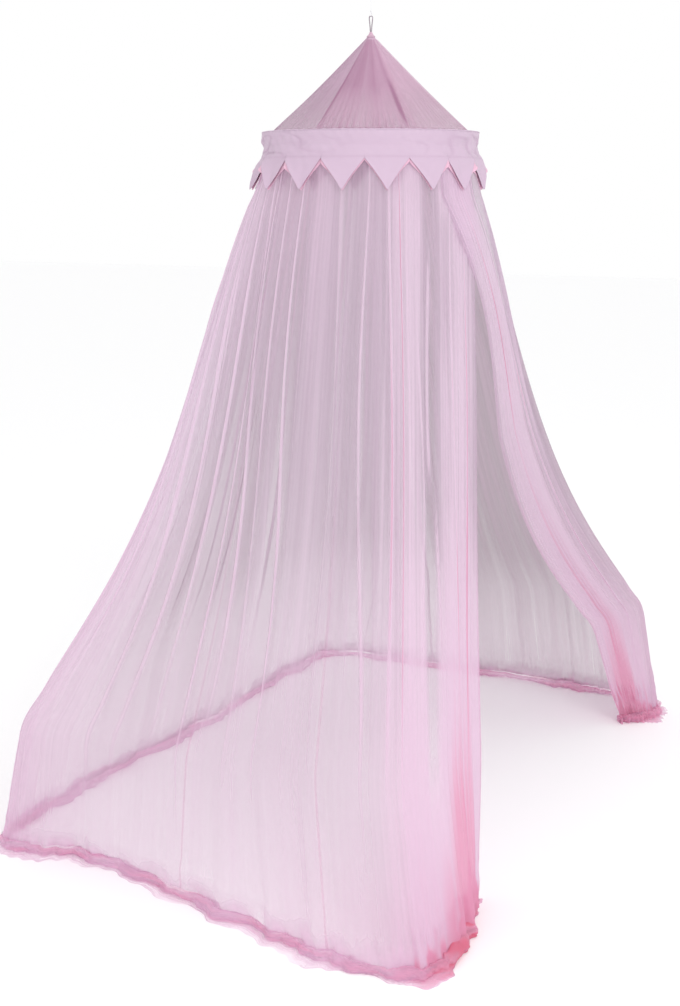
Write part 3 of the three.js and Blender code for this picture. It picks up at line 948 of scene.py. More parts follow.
@dataclass
class Suspension:
    """The string from the hook, its knots and eyes, and the tape loop on the cone's tip."""

    finishes: Finishes
    cord_radius: float = 0.001
    upper_eye_z: float = -0.03595
    upper_eye_radius: float = 0.005
    lower_eye_z: float = -0.1476
    lower_eye_radius: float = 0.006
    wrap_count: int = 4
    wrap_shares: Triple = (1.75, 0.85, 1.55)
    lay_length: float = 0.009
    loop_top: float = -0.150
    loop_foot: float = -0.1997
    loop_half_width: float = 0.0058
    tape_width: float = 0.006
    tape_thickness: float = 0.0012
    loop_shares: tuple[float, ...] = (0.35, 0.45, 0.62, 0.82, 0.98, 1.0, 0.84, 0.5, 0.0)
    loop_rises: tuple[float, ...] = (0.0, 0.2, 0.42, 0.62, 0.78, 0.87, 0.952, 0.988, 1.0)

    def build(self) -> None:
        """Makes every piece of the suspension."""
        self.upper_eye()
        lower = self.lower_eye()
        self.string(lower)
        self.upper_knot()
        self.tape_loop()

    def eye(self, name: str, radius: float, z: float, turn: Triple) -> bpy.types.Object:
        """A ring of the string's own cord that stands upright.

        Args:
            name: The piece's name.
            radius: The ring's middle radius.
            z: Height of the ring's centre.
            turn: Its rotation, in radians.

        Returns:
            The ring.
        """
        return settle(torus((radius, self.cord_radius), (48, 14), z, turn), name)

    def wraps(self, name: str, z: float) -> bpy.types.Object:
        """Turns of cord wound tightly round the string.

        Args:
            name: The piece's name.
            z: Height of the lowest turn.

        Returns:
            The wound knot.
        """
        middle, thickness, pitch = (share * self.cord_radius for share in self.wrap_shares)
        turns = [
            torus((middle, thickness), (32, 12), z + k * pitch, (0.16, 0.12 * (-1) ** k, 0.9 * k))
            for k in range(self.wrap_count)
        ]
        knot = settle(join(turns), name)
        apply_modifier(knot, "REMESH", mode="VOXEL", voxel_size=0.00022)
        smooth_shade(knot)
        return knot

    def upper_eye(self) -> None:
        """The eye that hangs in the ceiling hook."""
        eye = self.eye("string_upper_eye", self.upper_eye_radius, self.upper_eye_z, (math.pi / 2, 0.0, 0.0))
        dress(eye, self.finishes.string, Body.STRING)

    def lower_eye(self) -> bpy.types.Object:
        """The eye through the tape loop, with its knot.

        Returns:
            The joined eye and knot.
        """
        eye = self.eye("string_lower_eye", self.lower_eye_radius, self.lower_eye_z, (0.0, math.pi / 2, 0.0))
        knot = self.wraps("lower_wraps", self.lower_eye_z + self.lower_eye_radius + 0.0009)
        both = join([eye, knot])
        return dress(both, self.finishes.string, Body.STRING_END, ["lower_string_eye"])

    def upper_knot(self) -> None:
        """The wound knot under the upper eye."""
        top = self.upper_eye_z - self.upper_eye_radius - self.cord_radius
        knot = self.wraps("string_upper_knot", top - 0.0062)
        dress(knot, self.finishes.string, Body.STRING, ["upper_string_knot"])

    def string(self, knot: bpy.types.Object) -> None:
        """The taut run of the string, as two plies laid round each other.

        Args:
            knot: The piece at its far end.
        """
        top = self.upper_eye_z - self.upper_eye_radius
        foot = self.lower_eye_z + self.lower_eye_radius + 0.0006
        steps, sides = 160, 16
        z = top + (foot - top) * np.linspace(0, 1, steps + 1)
        angle = np.linspace(0, TAU, sides, endpoint=False)
        lobes = 1 - 0.16 * np.abs(np.sin(angle[None, :] - TAU * z[:, None] / self.lay_length))
        points = around(self.cord_radius * lobes, angle, z[:, None]).transpose(1, 0, 2)
        cord = cloth_mesh("string_cord", points, cloth_uv(np.linspace(0, 0.006, sides), z), wrap=True)
        close_ends(cord)
        dress(cord, self.finishes.string, Body.STRING, ["suspension_string"])

    def tape_loop(self) -> None:
        """The narrow drop of woven tape."""
        height = self.loop_top - self.loop_foot - self.tape_thickness
        half_x = np.array(self.loop_shares) * self.loop_half_width
        half_z = self.loop_foot + np.array(self.loop_rises) * height
        x = np.concatenate([half_x, -half_x[-2::-1]])
        z = np.concatenate([half_z, half_z[-2::-1]])
        place = np.linspace(0, len(x) - 1, 97)
        line = np.stack([smooth_at(x, place), smooth_at(z, place)], -1)
        run = np.gradient(line, axis=0)
        side = np.stack([run[:, 1], -run[:, 0]], -1) / np.linalg.norm(run, axis=1)[:, None]
        section = [(-0.5, 0.0), (-0.46, 1.0), (0.46, 1.0), (0.5, 0.0), (0.46, -1.0), (-0.46, -1.0)]
        columns = []
        for across, out in section:
            edge = line + side * out * self.tape_thickness / 2
            y = np.full(len(edge), across * self.tape_width)
            columns.append(np.stack([edge[:, 0], y, edge[:, 1]], -1))
        uv = cloth_uv(np.linspace(0, 0.014, len(section)), place * 0.0012)
        loop = cloth_mesh("tape_loop", np.array(columns), uv, wrap=True)
        close_ends(loop)
        dress(loop, self.finishes.tape, Body.CROWN, ["hanging_loop"])


# Cone


@dataclass
class Cone:
    """The cone of net over the hoop: its tip, its cloth, the lap in front and the seam at its foot."""

    finishes: Finishes
    tip_radius: float = 0.011
    foot_radius: float = 0.317
    tip_z: float = -0.2163
    foot_z: float = -0.5113
    slant: float = 0.43
    cloth_per_degree: float = 0.009
    rows: int = 44
    lap_start: float = 12.0
    lap_end: float = -96.0
    lap_offset: float = 0.0032
    slack_depth: float = 0.007
    pleat_depth: float = 0.0016
    pleat_count: int = 92
    crease_depth: float = 0.0022
    crease_count: int = 17
    pucker_depth: float = 0.0022
    flap_depth: float = 0.006

    def build(self) -> None:
        """Makes every piece of the cone."""
        self.cloth()
        self.lap()
        self.tip()
        self.foot_seam()

    def radius_at(self, share: np.ndarray) -> np.ndarray:
        """Radius of the plain cone.

        Args:
            share: Shares of the way down.

        Returns:
            The radii.
        """
        return self.tip_radius + (self.foot_radius - self.tip_radius) * share

    def uv(self, degrees: np.ndarray, share: np.ndarray) -> np.ndarray:
        """Cloth coordinates of a part of the cone.

        Args:
            degrees: Directions, one for each column.
            share: Shares of the way down, one for each row.

        Returns:
            Columns by rows by two.
        """
        return cloth_uv(np.abs(degrees) * self.cloth_per_degree, share * self.slant)

    def surface(self, degrees: np.ndarray, share: np.ndarray, offset: np.ndarray | float) -> np.ndarray:
        """Points of the cone.

        Args:
            degrees: Directions, one for each column.
            share: Shares of the way down, one for each row.
            offset: Distance outside the inner layer.

        Returns:
            Columns by rows by three.
        """
        turn = np.radians(degrees)[:, None]
        s = share[None, :]
        uneven = ripple(degrees[:, None] / 75.0, s * 0.5, 11)
        slack = self.slack_depth * np.sin(math.pi * s) + 0.004 * s * uneven * (1 - s**6)
        pleats = np.cos(self.pleat_count * turn + 1.3 * np.sin(5 * turn))
        pleats = self.pleat_depth * s**5 * pleats
        creases = np.cos(self.crease_count * turn + 2.0 * np.sin(3 * turn + 1))
        creases = self.crease_depth * s * (1 - s) * 4 * creases
        radius = self.radius_at(s) - slack + pleats + creases + offset
        return around(radius, turn, self.tip_z + (self.foot_z - self.tip_z) * s)

    def cloth(self) -> None:
        """The cone's own net, all round, with painted shade on the side away from the camera."""
        degrees = np.linspace(0, -360, 736, endpoint=False)
        share = np.linspace(0, 1, self.rows) ** 0.9
        even = np.ones((len(degrees), self.rows))
        layers = np.clip(0.9 / self.radius_at(share), 2.9, 6.0) * even
        # Painted shade, from the shade mark, on one side of the cone.
        shade = 0.6 * np.clip(np.cos(np.radians(degrees + 150)), 0, 1)[:, None] * even
        points, uv = self.surface(degrees, share, 0.0), self.uv(degrees, share)
        cone = cloth_mesh("crown_cone_net", points, uv, wrap=True, gather=layers, shade=shade)
        dress(cone, self.finishes.cone, Body.CROWN, ["crown_net"])

    def lap(self) -> None:
        """The second layer, where the cloth laps over itself: puckered at its foot, with a loose flap, and
        painted shade over its inner part and its puckers.
        """
        degrees = np.linspace(self.lap_start, self.lap_end, 260)
        share = np.linspace(0.03, 0.992, self.rows)
        column = degrees[:, None]
        across = np.linspace(0, 1, len(degrees))[:, None]
        inner = 1 - ramp(column, -44, -32)
        uneven = ripple(column / 60, 0 * column, 12)
        puckers = np.cos(np.radians(self.pleat_count * column) + 2.2 * uneven)
        puckers = self.pucker_depth * puckers * inner * ramp(share, 0.80, 0.97)
        flap = bell(column + 3 * share, -41, 1.6) * ramp(share, 0.45, 0.75) * (1 - share**12)
        lift = 0.0035 * bell(across, 1, 0.03) * share + puckers + self.flap_depth * flap
        points, uv = self.surface(degrees, share, self.lap_offset + lift), self.uv(degrees, share)
        layers = np.clip(0.8 / self.radius_at(share), 2.6, 4.5) * (0.45 + 0.55 * inner)
        # Painted shade: heaped layers give the puckers the darker shaded fold tint, and the shade mark covers
        # the inner part.
        layers = layers * (1 + 1.5 * bell(across, 1, 0.012) + 1.5 * flap + 260 * puckers)
        shade = inner * np.ones(share.shape)
        lap = cloth_mesh("crown_overlap_net", points, uv, gather=layers, shade=shade)
        dress(lap, self.finishes.overlap, Body.CROWN, ["crown_overlap_panel"])

    def tip(self) -> None:
        """The drawn-together tip, wrapped and sewn."""
        count, rows = 96, 26
        turn = np.linspace(0, TAU, count, endpoint=False)[:, None]
        s = np.linspace(0, 1, rows)[None, :]
        shape = np.interp(s, [0, 0.08, 0.35, 0.55, 1.0], [0.0032, 0.0044, 0.0058, 0.0078, 0.0142])
        radius = shape * (1 + 0.07 * np.cos(16 * turn + 0.8 * np.sin(3 * turn)))
        points = around(radius, turn, -0.2002 - 0.0163 * s)
        uv = cloth_uv(np.linspace(0, 0.08, count), np.linspace(0, 0.02, rows))
        tip = cloth_mesh("crown_tip", points, uv, wrap=True, gather=np.full((count, rows), 9.0))
        close_ends(tip)
        dress(tip, self.finishes.overlap, Body.CROWN, ["apex_cap"])

    def foot_seam(self) -> None:
        """The rolled seam where the cone is sewn to the ledge."""
        ring = torus((self.foot_radius + 0.001, 0.0016), (256, 10), self.foot_z + 0.0004)
        seam = settle(ring, "crown_foot_seam")
        seam.data.uv_layers[0].name = "cloth"
        dress(seam, self.finishes.stitch, Body.CROWN)


# Hoop and valance


@dataclass
class HoopAssembly:
    """The hoop's rods and sleeves and the ceiling plate, whose CAD shapes stay, and the hoop's casing."""

    finishes: Finishes
    frame: dict[str, dict]
    hoop_radius: float = 0.340
    hoop_height: float = 2.1801
    casing_radius: float = 0.0063

    def build(self) -> None:
        """Gives the hard pieces their finishes and makes the casing."""
        hard = {
            "hoop_rod": self.finishes.steel,
            "hoop_sleeve": self.finishes.sleeve,
            "ceiling_hook": self.finishes.enamel,
        }
        for name, obj in self.frame["nodes"].items():
            for start, material in hard.items():
                if name.startswith(start):
                    obj.data.materials.clear()
                    obj.data.materials.append(material)
                    LOG.info("%s: finished", obj.name)
        self.casing()

    def casing(self) -> None:
        """The cloth tunnel round the hoop, slightly puckered along its sewing."""
        count, rows = 480, 15
        turn = np.linspace(0, -TAU, count, endpoint=False)[:, None]
        section = np.radians(np.linspace(-150, 150, rows))[None, :]
        out = self.casing_radius + 0.0004 * np.cos(150 * turn + np.sin(7 * turn))
        z = self.hoop_height - CEILING + out * np.sin(section)
        points = around(self.hoop_radius + out * np.cos(section), turn, z)
        uv = cloth_uv(np.linspace(0, 2.14, count), np.linspace(0, 0.033, rows))
        casing = cloth_mesh("hoop_casing_cloth", points, uv, wrap=True)
        dress(casing, self.finishes.cotton, Body.CROWN, ["hoop_casing"])


@dataclass
class Valance:
    """The pointed cotton valance with its lining and its top ledge."""

    finishes: Finishes
    radius: float = 0.3502
    top: float = 2.187
    waist: float = 2.142
    foot: float = 2.118
    valley: float = 2.102
    tip: float = 2.000
    waist_draw: float = 0.0045
    flares: Triple = (0.006, 0.035, 0.010)
    cloth_per_degree: float = 0.0061
    point_count: int = 16
    point_power: float = 0.80
    point_lean: float = 0.06
    point_twist: float = 0.14
    tip_rounding: float = 0.0012
    lining_patch: float = 0.024
    thickness: float = 0.0011
    gather_depth: float = 0.0009
    gather_count: int = 96
    curl_depth: float = 0.0035
    belly_depth: float = 0.002
    wrinkle_depth: float = 0.0030
    sewing_depth: float = 0.0010

    def build(self) -> None:
        """Makes the valance's pieces."""
        self.band()
        self.lining()
        self.ledge()

    def across_point(self, degrees: np.ndarray) -> np.ndarray:
        """Place between the valleys on a point's two sides; each point leans a little its own way.

        Args:
            degrees: Directions.

        Returns:
            Shares: -1 and 1 in the valleys and 0 at the tip.
        """
        place = np.abs(degrees) * self.point_count / 360.0
        rng = np.random.default_rng(17)
        leans = rng.uniform(-self.point_lean, self.point_lean, self.point_count)
        tip = 0.5 + leans[np.floor(place).astype(int) % self.point_count]
        across = place % 1.0 - tip
        return across / np.where(across < 0, tip, 1 - tip)

    def creases(
        self, degrees: np.ndarray, height: np.ndarray, sideways: np.ndarray
    ) -> tuple[np.ndarray, np.ndarray]:
        """Unevenness of the band, more where it is seen edge on, with sharp wrinkles above the points.

        Args:
            degrees: Directions, one for each column.
            height: Heights above the floor, columns by rows.
            sideways: How far each direction lies to the photo's side, from -1 to 1.

        Returns:
            How far the cloth stands out, and the shade mark: painted shade in its wrinkles and darkening
            along its sewing.
        """
        below = self.top - height
        above = ramp(height, self.valley - 0.01, self.valley + 0.02)
        begun = ramp(below, 0, 0.02)
        ends = np.abs(sideways) ** 1.5 * above
        sides = (0.35 + 0.65 * np.abs(sideways)) * (0.4 + 0.6 * above)
        wrinkle = ends * bell(ripple(degrees / 90.0, -11.0 * below, 21), 0, 0.10) * begun
        sewn = bell(height, self.valley + 0.004, 0.0022)
        crease = 0.0030 * sides * ripple(degrees / 42.0, -9.0 * below, 3)
        crease += 0.0016 * sides * ripple(degrees / 15.0, -17.0 * below, 5)
        crease += 0.0030 * ends * ripple(degrees / 60.0, -20.0 * below, 22)
        crease -= self.wrinkle_depth * wrinkle + self.sewing_depth * sewn
        # The second value paints shade in the wrinkles and darkens along the sewing.
        return crease * begun, np.maximum(0.9 * wrinkle, 0.5 * sewn)

    def layer(self, name: str, offset: float, inward: float, drop: float) -> bpy.types.Object:
        """One layer of the valance.

        Args:
            name: The piece's name.
            offset: Distance outside the valance's middle.
            inward: How much further in the points' tips hang.
            drop: How far its edge hangs below the zigzag near the valleys.

        Returns:
            The layer.
        """
        degrees = np.linspace(0, -360, self.point_count * 30, endpoint=False)[:, None]
        turn = np.radians(degrees)
        sideways = np.sin(turn - math.radians(TO_CAMERA))
        across = self.across_point(degrees)
        from_tip = np.abs(across)
        rounded = np.minimum(np.sqrt(across**2 + self.tip_rounding), 1.0)
        edge = self.tip + (self.valley - self.tip) * rounded**self.point_power
        patch = self.lining_patch * np.abs(sideways) ** 1.5 * eased(from_tip, 0.4, 1.0) * (drop > 0)
        edge = edge - drop * (0.35 + 0.65 * from_tip) - patch
        height = self.top - (self.top - edge) * np.linspace(0, 1, 54)[None, :] ** 0.92
        down = np.clip((self.foot - height) / (self.foot - self.tip), 0, 1.1)
        waist = np.clip(1 - np.abs(height - self.waist) / (self.top - self.waist), 0, 1)
        # shade: painted shade in the wrinkles and darkening along the sewing.
        crease, shade = self.creases(degrees, height, sideways)
        gathered = self.gather_depth * np.cos(self.gather_count * turn)
        gathered = gathered * ramp(self.top - height, 0.016, 0)
        curl = self.curl_depth * np.exp(-((height - edge) / 0.010))
        curl = curl * (0.4 + 0.6 * ripple(degrees / 30.0, 0 * height, 8) ** 2)
        belly = self.belly_depth * np.cos(math.pi * from_tip) * down
        twist = self.point_twist * np.maximum(-sideways * across / 2, 0) * down
        radius = self.radius + offset - self.waist_draw * waist**2
        radius = radius + flare(turn, self.flares) * down**2 - inward * down
        radius = radius + crease + gathered + curl + belly + twist
        girth = np.abs(degrees) * self.cloth_per_degree
        uv = np.stack(np.broadcast_arrays(girth, height - self.top), -1)
        return cloth_mesh(name, around(radius, turn, height - CEILING), uv, wrap=True, shade=shade)

    def band(self) -> None:
        """The outer band of pale cotton."""
        band = self.layer("valance_band_cloth", 0.0, -0.007, 0.0)
        apply_modifier(band, "SOLIDIFY", thickness=self.thickness, offset=-1.0)
        dress(band, self.finishes.cotton, Body.CROWN, ["valance_band"])

    def lining(self) -> None:
        """The deeper pink lining, a little longer round the valleys."""
        lining = self.layer("valance_lining_cloth", -0.0014, 0.002, 0.0065)
        apply_modifier(lining, "SOLIDIFY", thickness=self.thickness * 0.8, offset=-1.0)
        dress(lining, self.finishes.lining, Body.CROWN, ["valance_lining"])

    def ledge(self) -> None:
        """The flat ring between the cone's foot and the hoop, rolled over at its rim."""
        count = 480
        turn = np.linspace(0, -TAU, count, endpoint=False)[:, None]
        across = np.array([0.312, 0.318, 0.325, 0.332, 0.339, 0.345, 0.3487, 0.3506, 0.3512, 0.3508])[None, :]
        rise = np.array([0.3, 0.9, 1.2, 1.3, 1.35, 1.3, 1.1, 0.6, -0.6, -2.2])[None, :] * 0.001
        wave = 0.0007 * np.cos(64 * turn + 1.5 * np.sin(5 * turn)) * np.sin(math.pi * (across - 0.312) / 0.04)
        radius = across + 0.0006 * np.cos(self.gather_count * turn) * (across > 0.345)
        points = around(radius, turn, self.top - CEILING + 0.0003 + rise + wave)
        uv = cloth_uv(np.linspace(0, 2.2, count), np.linspace(0, 0.042, across.size))
        ledge = cloth_mesh("valance_ledge_cloth", points, uv, wrap=True)
        apply_modifier(ledge, "SOLIDIFY", thickness=0.0009, offset=-1.0)
        dress(ledge, self.finishes.cotton, Body.CROWN, ["valance_top_ledge"])


# Net


@dataclass(frozen=True)
class NetPiece:
    """One length of net between two of the CAD's columns, and the leaf that swings it."""

    name: str
    node: str
    hem_node: str
    first: int
    last: int
    swing: Body | None = None


@dataclass(frozen=True)
class Bunch:
    """Cloth drawn together about one station, in layers at middle height."""

    station: float
    spread: float
    layers: float


@dataclass(frozen=True)
class Heap:
    """Net lying in a heap at a leaf's foot: its place, the heights between which it grows, its layers."""

    station: float
    spread: float
    top: float
    full: float
    layers: float


@dataclass(frozen=True)
class Pleat:
    """One fold that runs down the net, placed by metres of cloth; its two sides may differ in width."""

    cloth: float
    rise: float
    tuck: float
    widths: tuple[float, float]
    head: float
    foot: float
    lean: float


@dataclass(frozen=True)
class Fall:
    """How the net falls over a grid of stations and heights, columns by rows."""

    plan: np.ndarray
    points: np.ndarray
    outward: np.ndarray
    offset: np.ndarray
    spread: np.ndarray
    tuck: np.ndarray


@dataclass
class NetCurtain:
    """The long net: its widths, seams, free edges and floor hem."""

    finishes: Finishes
    top: float = 2.1731
    throat: float = 1.985
    mattress: float = 0.43
    hem_top: float = 0.0243
    top_radius: float = 0.338
    throat_spread: float = 0.003
    flares: Triple = (0.006, 0.035, 0.016)
    half_width: float = 0.66
    half_length: float = 1.08
    sag: float = 0.1
    sag_power: float = 1.7
    corner_sags: tuple[Triple, ...] = ((14.8, 0.8, 0.095), (7.2, 1.0, 0.045))
    plain_layers: float = 2.4
    strip_width: float = 0.0066
    strip_lift: float = 0.0012
    strip_columns: int = 7
    cloth_step: float = 0.0034
    hem_step: float = 0.006
    hem_width: float = 0.14
    pleat_sway: float = 0.03
    main_folds: float = 2.25
    main_depth: float = 0.055
    soft_depth: float = 0.015
    narrow_depth: float = 0.013
    crumple_depths: tuple[float, float] = (0.010, 0.005)
    crossing_heights: tuple[float, float] = (1.35, 1.70)
    crossing_steps: tuple[float, float] = (0.04, 0.045)
    front_heap: Heap = Heap(1.25, 0.65, 0.62, 0.02, 18.0)
    right_heap: Heap = Heap(15.7, 0.6, 0.42, 0.06, 19.0)
    angles: tuple[float, ...] = (
        4, -20, -44, -62, -90, -118, -140, -160, -180, -200, -220, -238, -262, -290, -312, -346, -386,
    )
    edge_shares: tuple[tuple[float, float], ...] = (
        (1.04, -0.645), (1.04, -0.82), (0.97, -0.985), (0.72, -1.012), (0.3, -1.01), (-0.13, -1.01),
        (-0.62, -1.01), (-0.985, -0.995), (-1.03, -0.5), (-1.02, 0.15), (-1.02, 0.75), (-0.93, 1.01),
        (-0.2, 1.02), (0.55, 1.02), (0.97, 1.0), (1.03, 0.9), (0.89, 0.63),
    )
    floor_shares: tuple[tuple[float, float], ...] = (
        (1.07, -0.69), (1.17, -0.9), (1.15, -1.11), (0.9, -1.17), (0.45, -1.125), (-0.17, -1.02),
        (-0.74, -0.955), (-1.17, -0.965), (-1.19, -0.5), (-1.14, 0.15), (-1.14, 0.8), (-1.04, 1.06),
        (-0.2, 1.09), (0.6, 1.09), (1.05, 1.03), (1.14, 0.93), (0.99, 0.8),
    )
    bunches: tuple[Bunch, ...] = (
        Bunch(0.75, 0.52, 3.6),
        Bunch(1.55, 0.14, -3.0),
        Bunch(2.10, 0.45, 3.2),
        Bunch(6.85, 0.55, 2.6),
        Bunch(12.8, 1.30, 1.5),
        Bunch(15.62, 0.27, 6.5),
    )
    lively_stations: tuple[tuple[float, ...], tuple[float, ...]] = (
        (0.0, 2.4, 2.9, 3.9, 4.3, 6.8, 7.6, 16.0),
        (0.8, 0.8, 0.4, 0.4, 1.5, 1.5, 0.8, 0.8),
    )
    marked_folds: tuple[Triple, ...] = (
        (0.50, 0.016, 1.5), (1.42, 0.010, 2.0), (2.22, 0.012, 2.4), (2.52, 0.014, 2.4), (3.08, 0.010, 1.4),
        (3.55, 0.030, 0.7), (4.28, 0.010, 2.6), (4.60, 0.012, 1.4), (4.86, 0.012, 2.6), (5.05, 0.009, 1.6),
        (5.34, 0.013, 2.5), (5.72, 0.015, 2.3), (6.10, 0.020, 1.6), (6.60, 0.014, 1.8), (8.60, 0.014, 2.2),
        (9.40, 0.020, 2.0), (10.60, 0.014, 2.2), (13.40, 0.012, 2.0), (15.30, 0.016, 1.2),
    )
    hem_section: tuple[tuple[float, float], ...] = (
        (0, 26), (7, 29), (15, 25), (20, 16), (19, 7), (10, 2), (-3, 1), (-14, 3), (-18, 10),
        (-12, 18), (-2, 20), (8, 17), (16, 11), (22, 5), (31, 2), (41, 1.2), (52, 1),
    )
    pieces: tuple[NetPiece, ...] = (
        NetPiece("net_front_leaf", "front_leaf_net", "front_leaf_hem", 0, 18, Body.FRONT_LEAF),
        NetPiece("net_foot_right", "foot_net_right", "foot_right_hem", 18, 31, Body.FRONT_LEAF),
        NetPiece("net_foot_centre", "foot_net_centre", "foot_centre_hem", 31, 44, Body.FRONT_LEAF),
        NetPiece("net_foot_corner", "foot_corner_net", "foot_corner_hem", 44, 67),
        NetPiece("net_left_side", "left_side_net", "left_side_hem", 67, 92),
        NetPiece("net_head_corner", "head_corner_net", "head_corner_hem", 92, 108),
        NetPiece("net_head", "head_net", "head_hem", 108, 126, Body.RIGHT_LEAF),
        NetPiece("net_right_leaf", "right_leaf_net", "right_leaf_hem", 126, 144, Body.RIGHT_LEAF),
    )
    grid: np.ndarray = field(init=False)
    metres: np.ndarray = field(init=False)
    rate: np.ndarray = field(init=False)
    bunched: np.ndarray = field(init=False)
    pleats: list[Pleat] = field(init=False)

    def __post_init__(self) -> None:
        """Measures the cloth round the net and lays out its pleats."""
        self.grid = np.linspace(0, LAST_STATION, 100 * LAST_STATION + 1)
        line = self.plain(self.grid[:, None], np.array([[1.0]]))[:, 0, :2]
        speed = np.linalg.norm(np.gradient(line, self.grid, axis=0), axis=1)
        layers = np.full(self.grid.shape, self.plain_layers)
        for bunch in self.bunches:
            layers += bunch.layers * bell(self.grid, bunch.station, bunch.spread)
        self.rate = layers * speed
        self.bunched = np.clip(1 - self.plain_layers / layers, -1, 1)
        steps = (self.rate[1:] + self.rate[:-1]) / 2 * np.diff(self.grid)
        self.metres = np.concatenate([[0.0], np.cumsum(steps)])
        self.pleats = self.lay_out_pleats()

    def build(self) -> None:
        """Makes every length of net with its hem, then the seams and the free edges."""
        LOG.info("cloth round the net: %.2f m", self.metres[-1])
        for piece in self.pieces:
            self.width(piece)
            self.hem(piece)
        self.seams()
        self.free_edges()

    # Shape

    def lay_out_pleats(self) -> list[Pleat]:
        """Narrow bright folds and broad soft ones at uneven distances, and the plainest folds of the photo.

        Returns:
            The folds.
        """
        rng = np.random.default_rng(7)
        found = []
        for spacing, narrowest, widest, rise, tuck, lean in (
            (0.200, 0.006, 0.030, 1.0, 1.9, 0.14),
            (0.330, 0.040, 0.140, 1.8, 0.8, 0.05),
        ):
            place = -0.1
            while place < self.metres[-1] + 0.1:
                lively = float(np.interp(self.station_at(place), *self.lively_stations))
                place += spacing * (0.12 + rng.exponential(0.88)) / lively
                strength = min(1.0, float(rng.random() ** 1.6) * lively)
                width = rng.uniform(narrowest, widest)
                skew = rng.uniform(0.25, 1.0)
                found.append(Pleat(
                    cloth=place,
                    rise=rise * (0.15 + 0.85 * strength),
                    tuck=tuck * strength,
                    widths=(width, width * skew) if rng.random() < 0.5 else (width * skew, width),
                    head=2.4 if rng.random() < 0.6 else rng.uniform(1.1, 2.0),
                    foot=-0.6 if rng.random() < 0.12 else rng.uniform(0.35, 1.1),
                    lean=rng.uniform(-lean, lean),
                ))
        for station, width, tuck in self.marked_folds:
            place = float(self.cloth_at(station))
            found.append(Pleat(place, 1.0, tuck, (width, 0.5 * width), 2.4, rng.uniform(0.1, 0.5), 0.05))
        return found

    def cloth_at(self, station: np.ndarray | float) -> np.ndarray:
        """Metres of cloth between the front free edge and a station.

        Args:
            station: The station.

        Returns:
            The metres.
        """
        return np.interp(station, self.grid, self.metres)

    def station_at(self, cloth: np.ndarray | float) -> np.ndarray:
        """Station at so many metres of cloth from the front free edge.

        Args:
            cloth: The metres.

        Returns:
            The station.
        """
        return np.interp(cloth, self.metres, self.grid)

    def rows(self) -> np.ndarray:
        """Heights of the mesh's rows, closest where the net turns.

        Returns:
            The heights above the floor, from the top down.
        """
        return np.concatenate([
            np.linspace(self.top, 1.99, 8),
            np.linspace(1.955, 0.50, 32),
            np.linspace(0.475, 0.385, 6),
            np.linspace(0.36, self.hem_top, 18),
        ])

    def out_share(self, s: np.ndarray, h: np.ndarray) -> np.ndarray:
        """How far the net has come out from the throat to the mattress edge, with its sag.

        Args:
            s: Stations, columns by rows.
            h: Heights above the floor, columns by rows.

        Returns:
            The shares, 0 at the throat and 1 at the mattress edge.
        """
        hang = ramp(h, self.throat, self.mattress)
        right_leaf = ramp(s, 14.5, 16.0) ** 2
        share = hang - self.sag * (1 + 0.85 * right_leaf) * np.sin(math.pi * hang**self.sag_power)
        share = share + right_leaf * 0.055 * np.sin(math.pi * ramp(hang, 0, 0.5))
        corners = sum(depth * bell(s, station, spread) for station, spread, depth in self.corner_sags)
        return share - corners * np.sin(math.pi * hang**0.9) ** 1.3

    def plain(self, station: np.ndarray, height: np.ndarray) -> np.ndarray:
        """Net without its folds; under the hoop the right leaf passes in front of the front one.

        Args:
            station: Stations, columns by rows.
            height: Heights above the floor, columns by rows.

        Returns:
            Columns by rows by three.
        """
        s, h = np.broadcast_arrays(station, height)
        turn = np.radians(smooth_at(self.angles, s))
        ring = self.top_radius + 0.003 * ramp(s, 14.8, 16.0) - 0.007 * ramp(s, 1.6, 0)
        spread = self.throat_spread + flare(turn, self.flares)
        upper = around(ring + spread * ramp(h, self.top, self.throat) ** 2, turn, 0.0)[..., :2]
        throat = around(ring + spread, turn, 0.0)[..., :2]
        edge, floor = self.lay_flat(self.edge_shares, s), self.lay_flat(self.floor_shares, s)
        hanging = throat + (edge - throat) * self.out_share(s, h)[..., None]
        fallen = edge + (floor - edge) * ramp(h, self.mattress, self.hem_top)[..., None]
        plan = np.where((h >= self.throat)[..., None], upper, hanging)
        plan = np.where((h < self.mattress)[..., None], fallen, plan)
        crossing = eased(h, self.throat, self.throat - 0.12) * eased(h, *self.crossing_heights)
        inward, outward = self.crossing_steps
        ahead = outward * eased(s, 14.9, 15.7) - inward * eased(s, 1.6, 0.6)
        plan = plan + (crossing * ahead)[..., None] * np.array([0.45, -0.89])
        return np.concatenate([plan, (h - CEILING)[..., None]], -1)

    def lay_flat(self, shares: Sequence[Sequence[float]], station: np.ndarray) -> np.ndarray:
        """Places in plan from a table.

        Args:
            shares: Shares of the bed's half width and half length, one pair for each whole station.
            station: Where to read the table.

        Returns:
            The places, with x and y last.
        """
        x = smooth_at([share[0] for share in shares], station) * self.half_width
        y = smooth_at([share[1] for share in shares], station) * self.half_length
        return np.stack([x, y], -1)

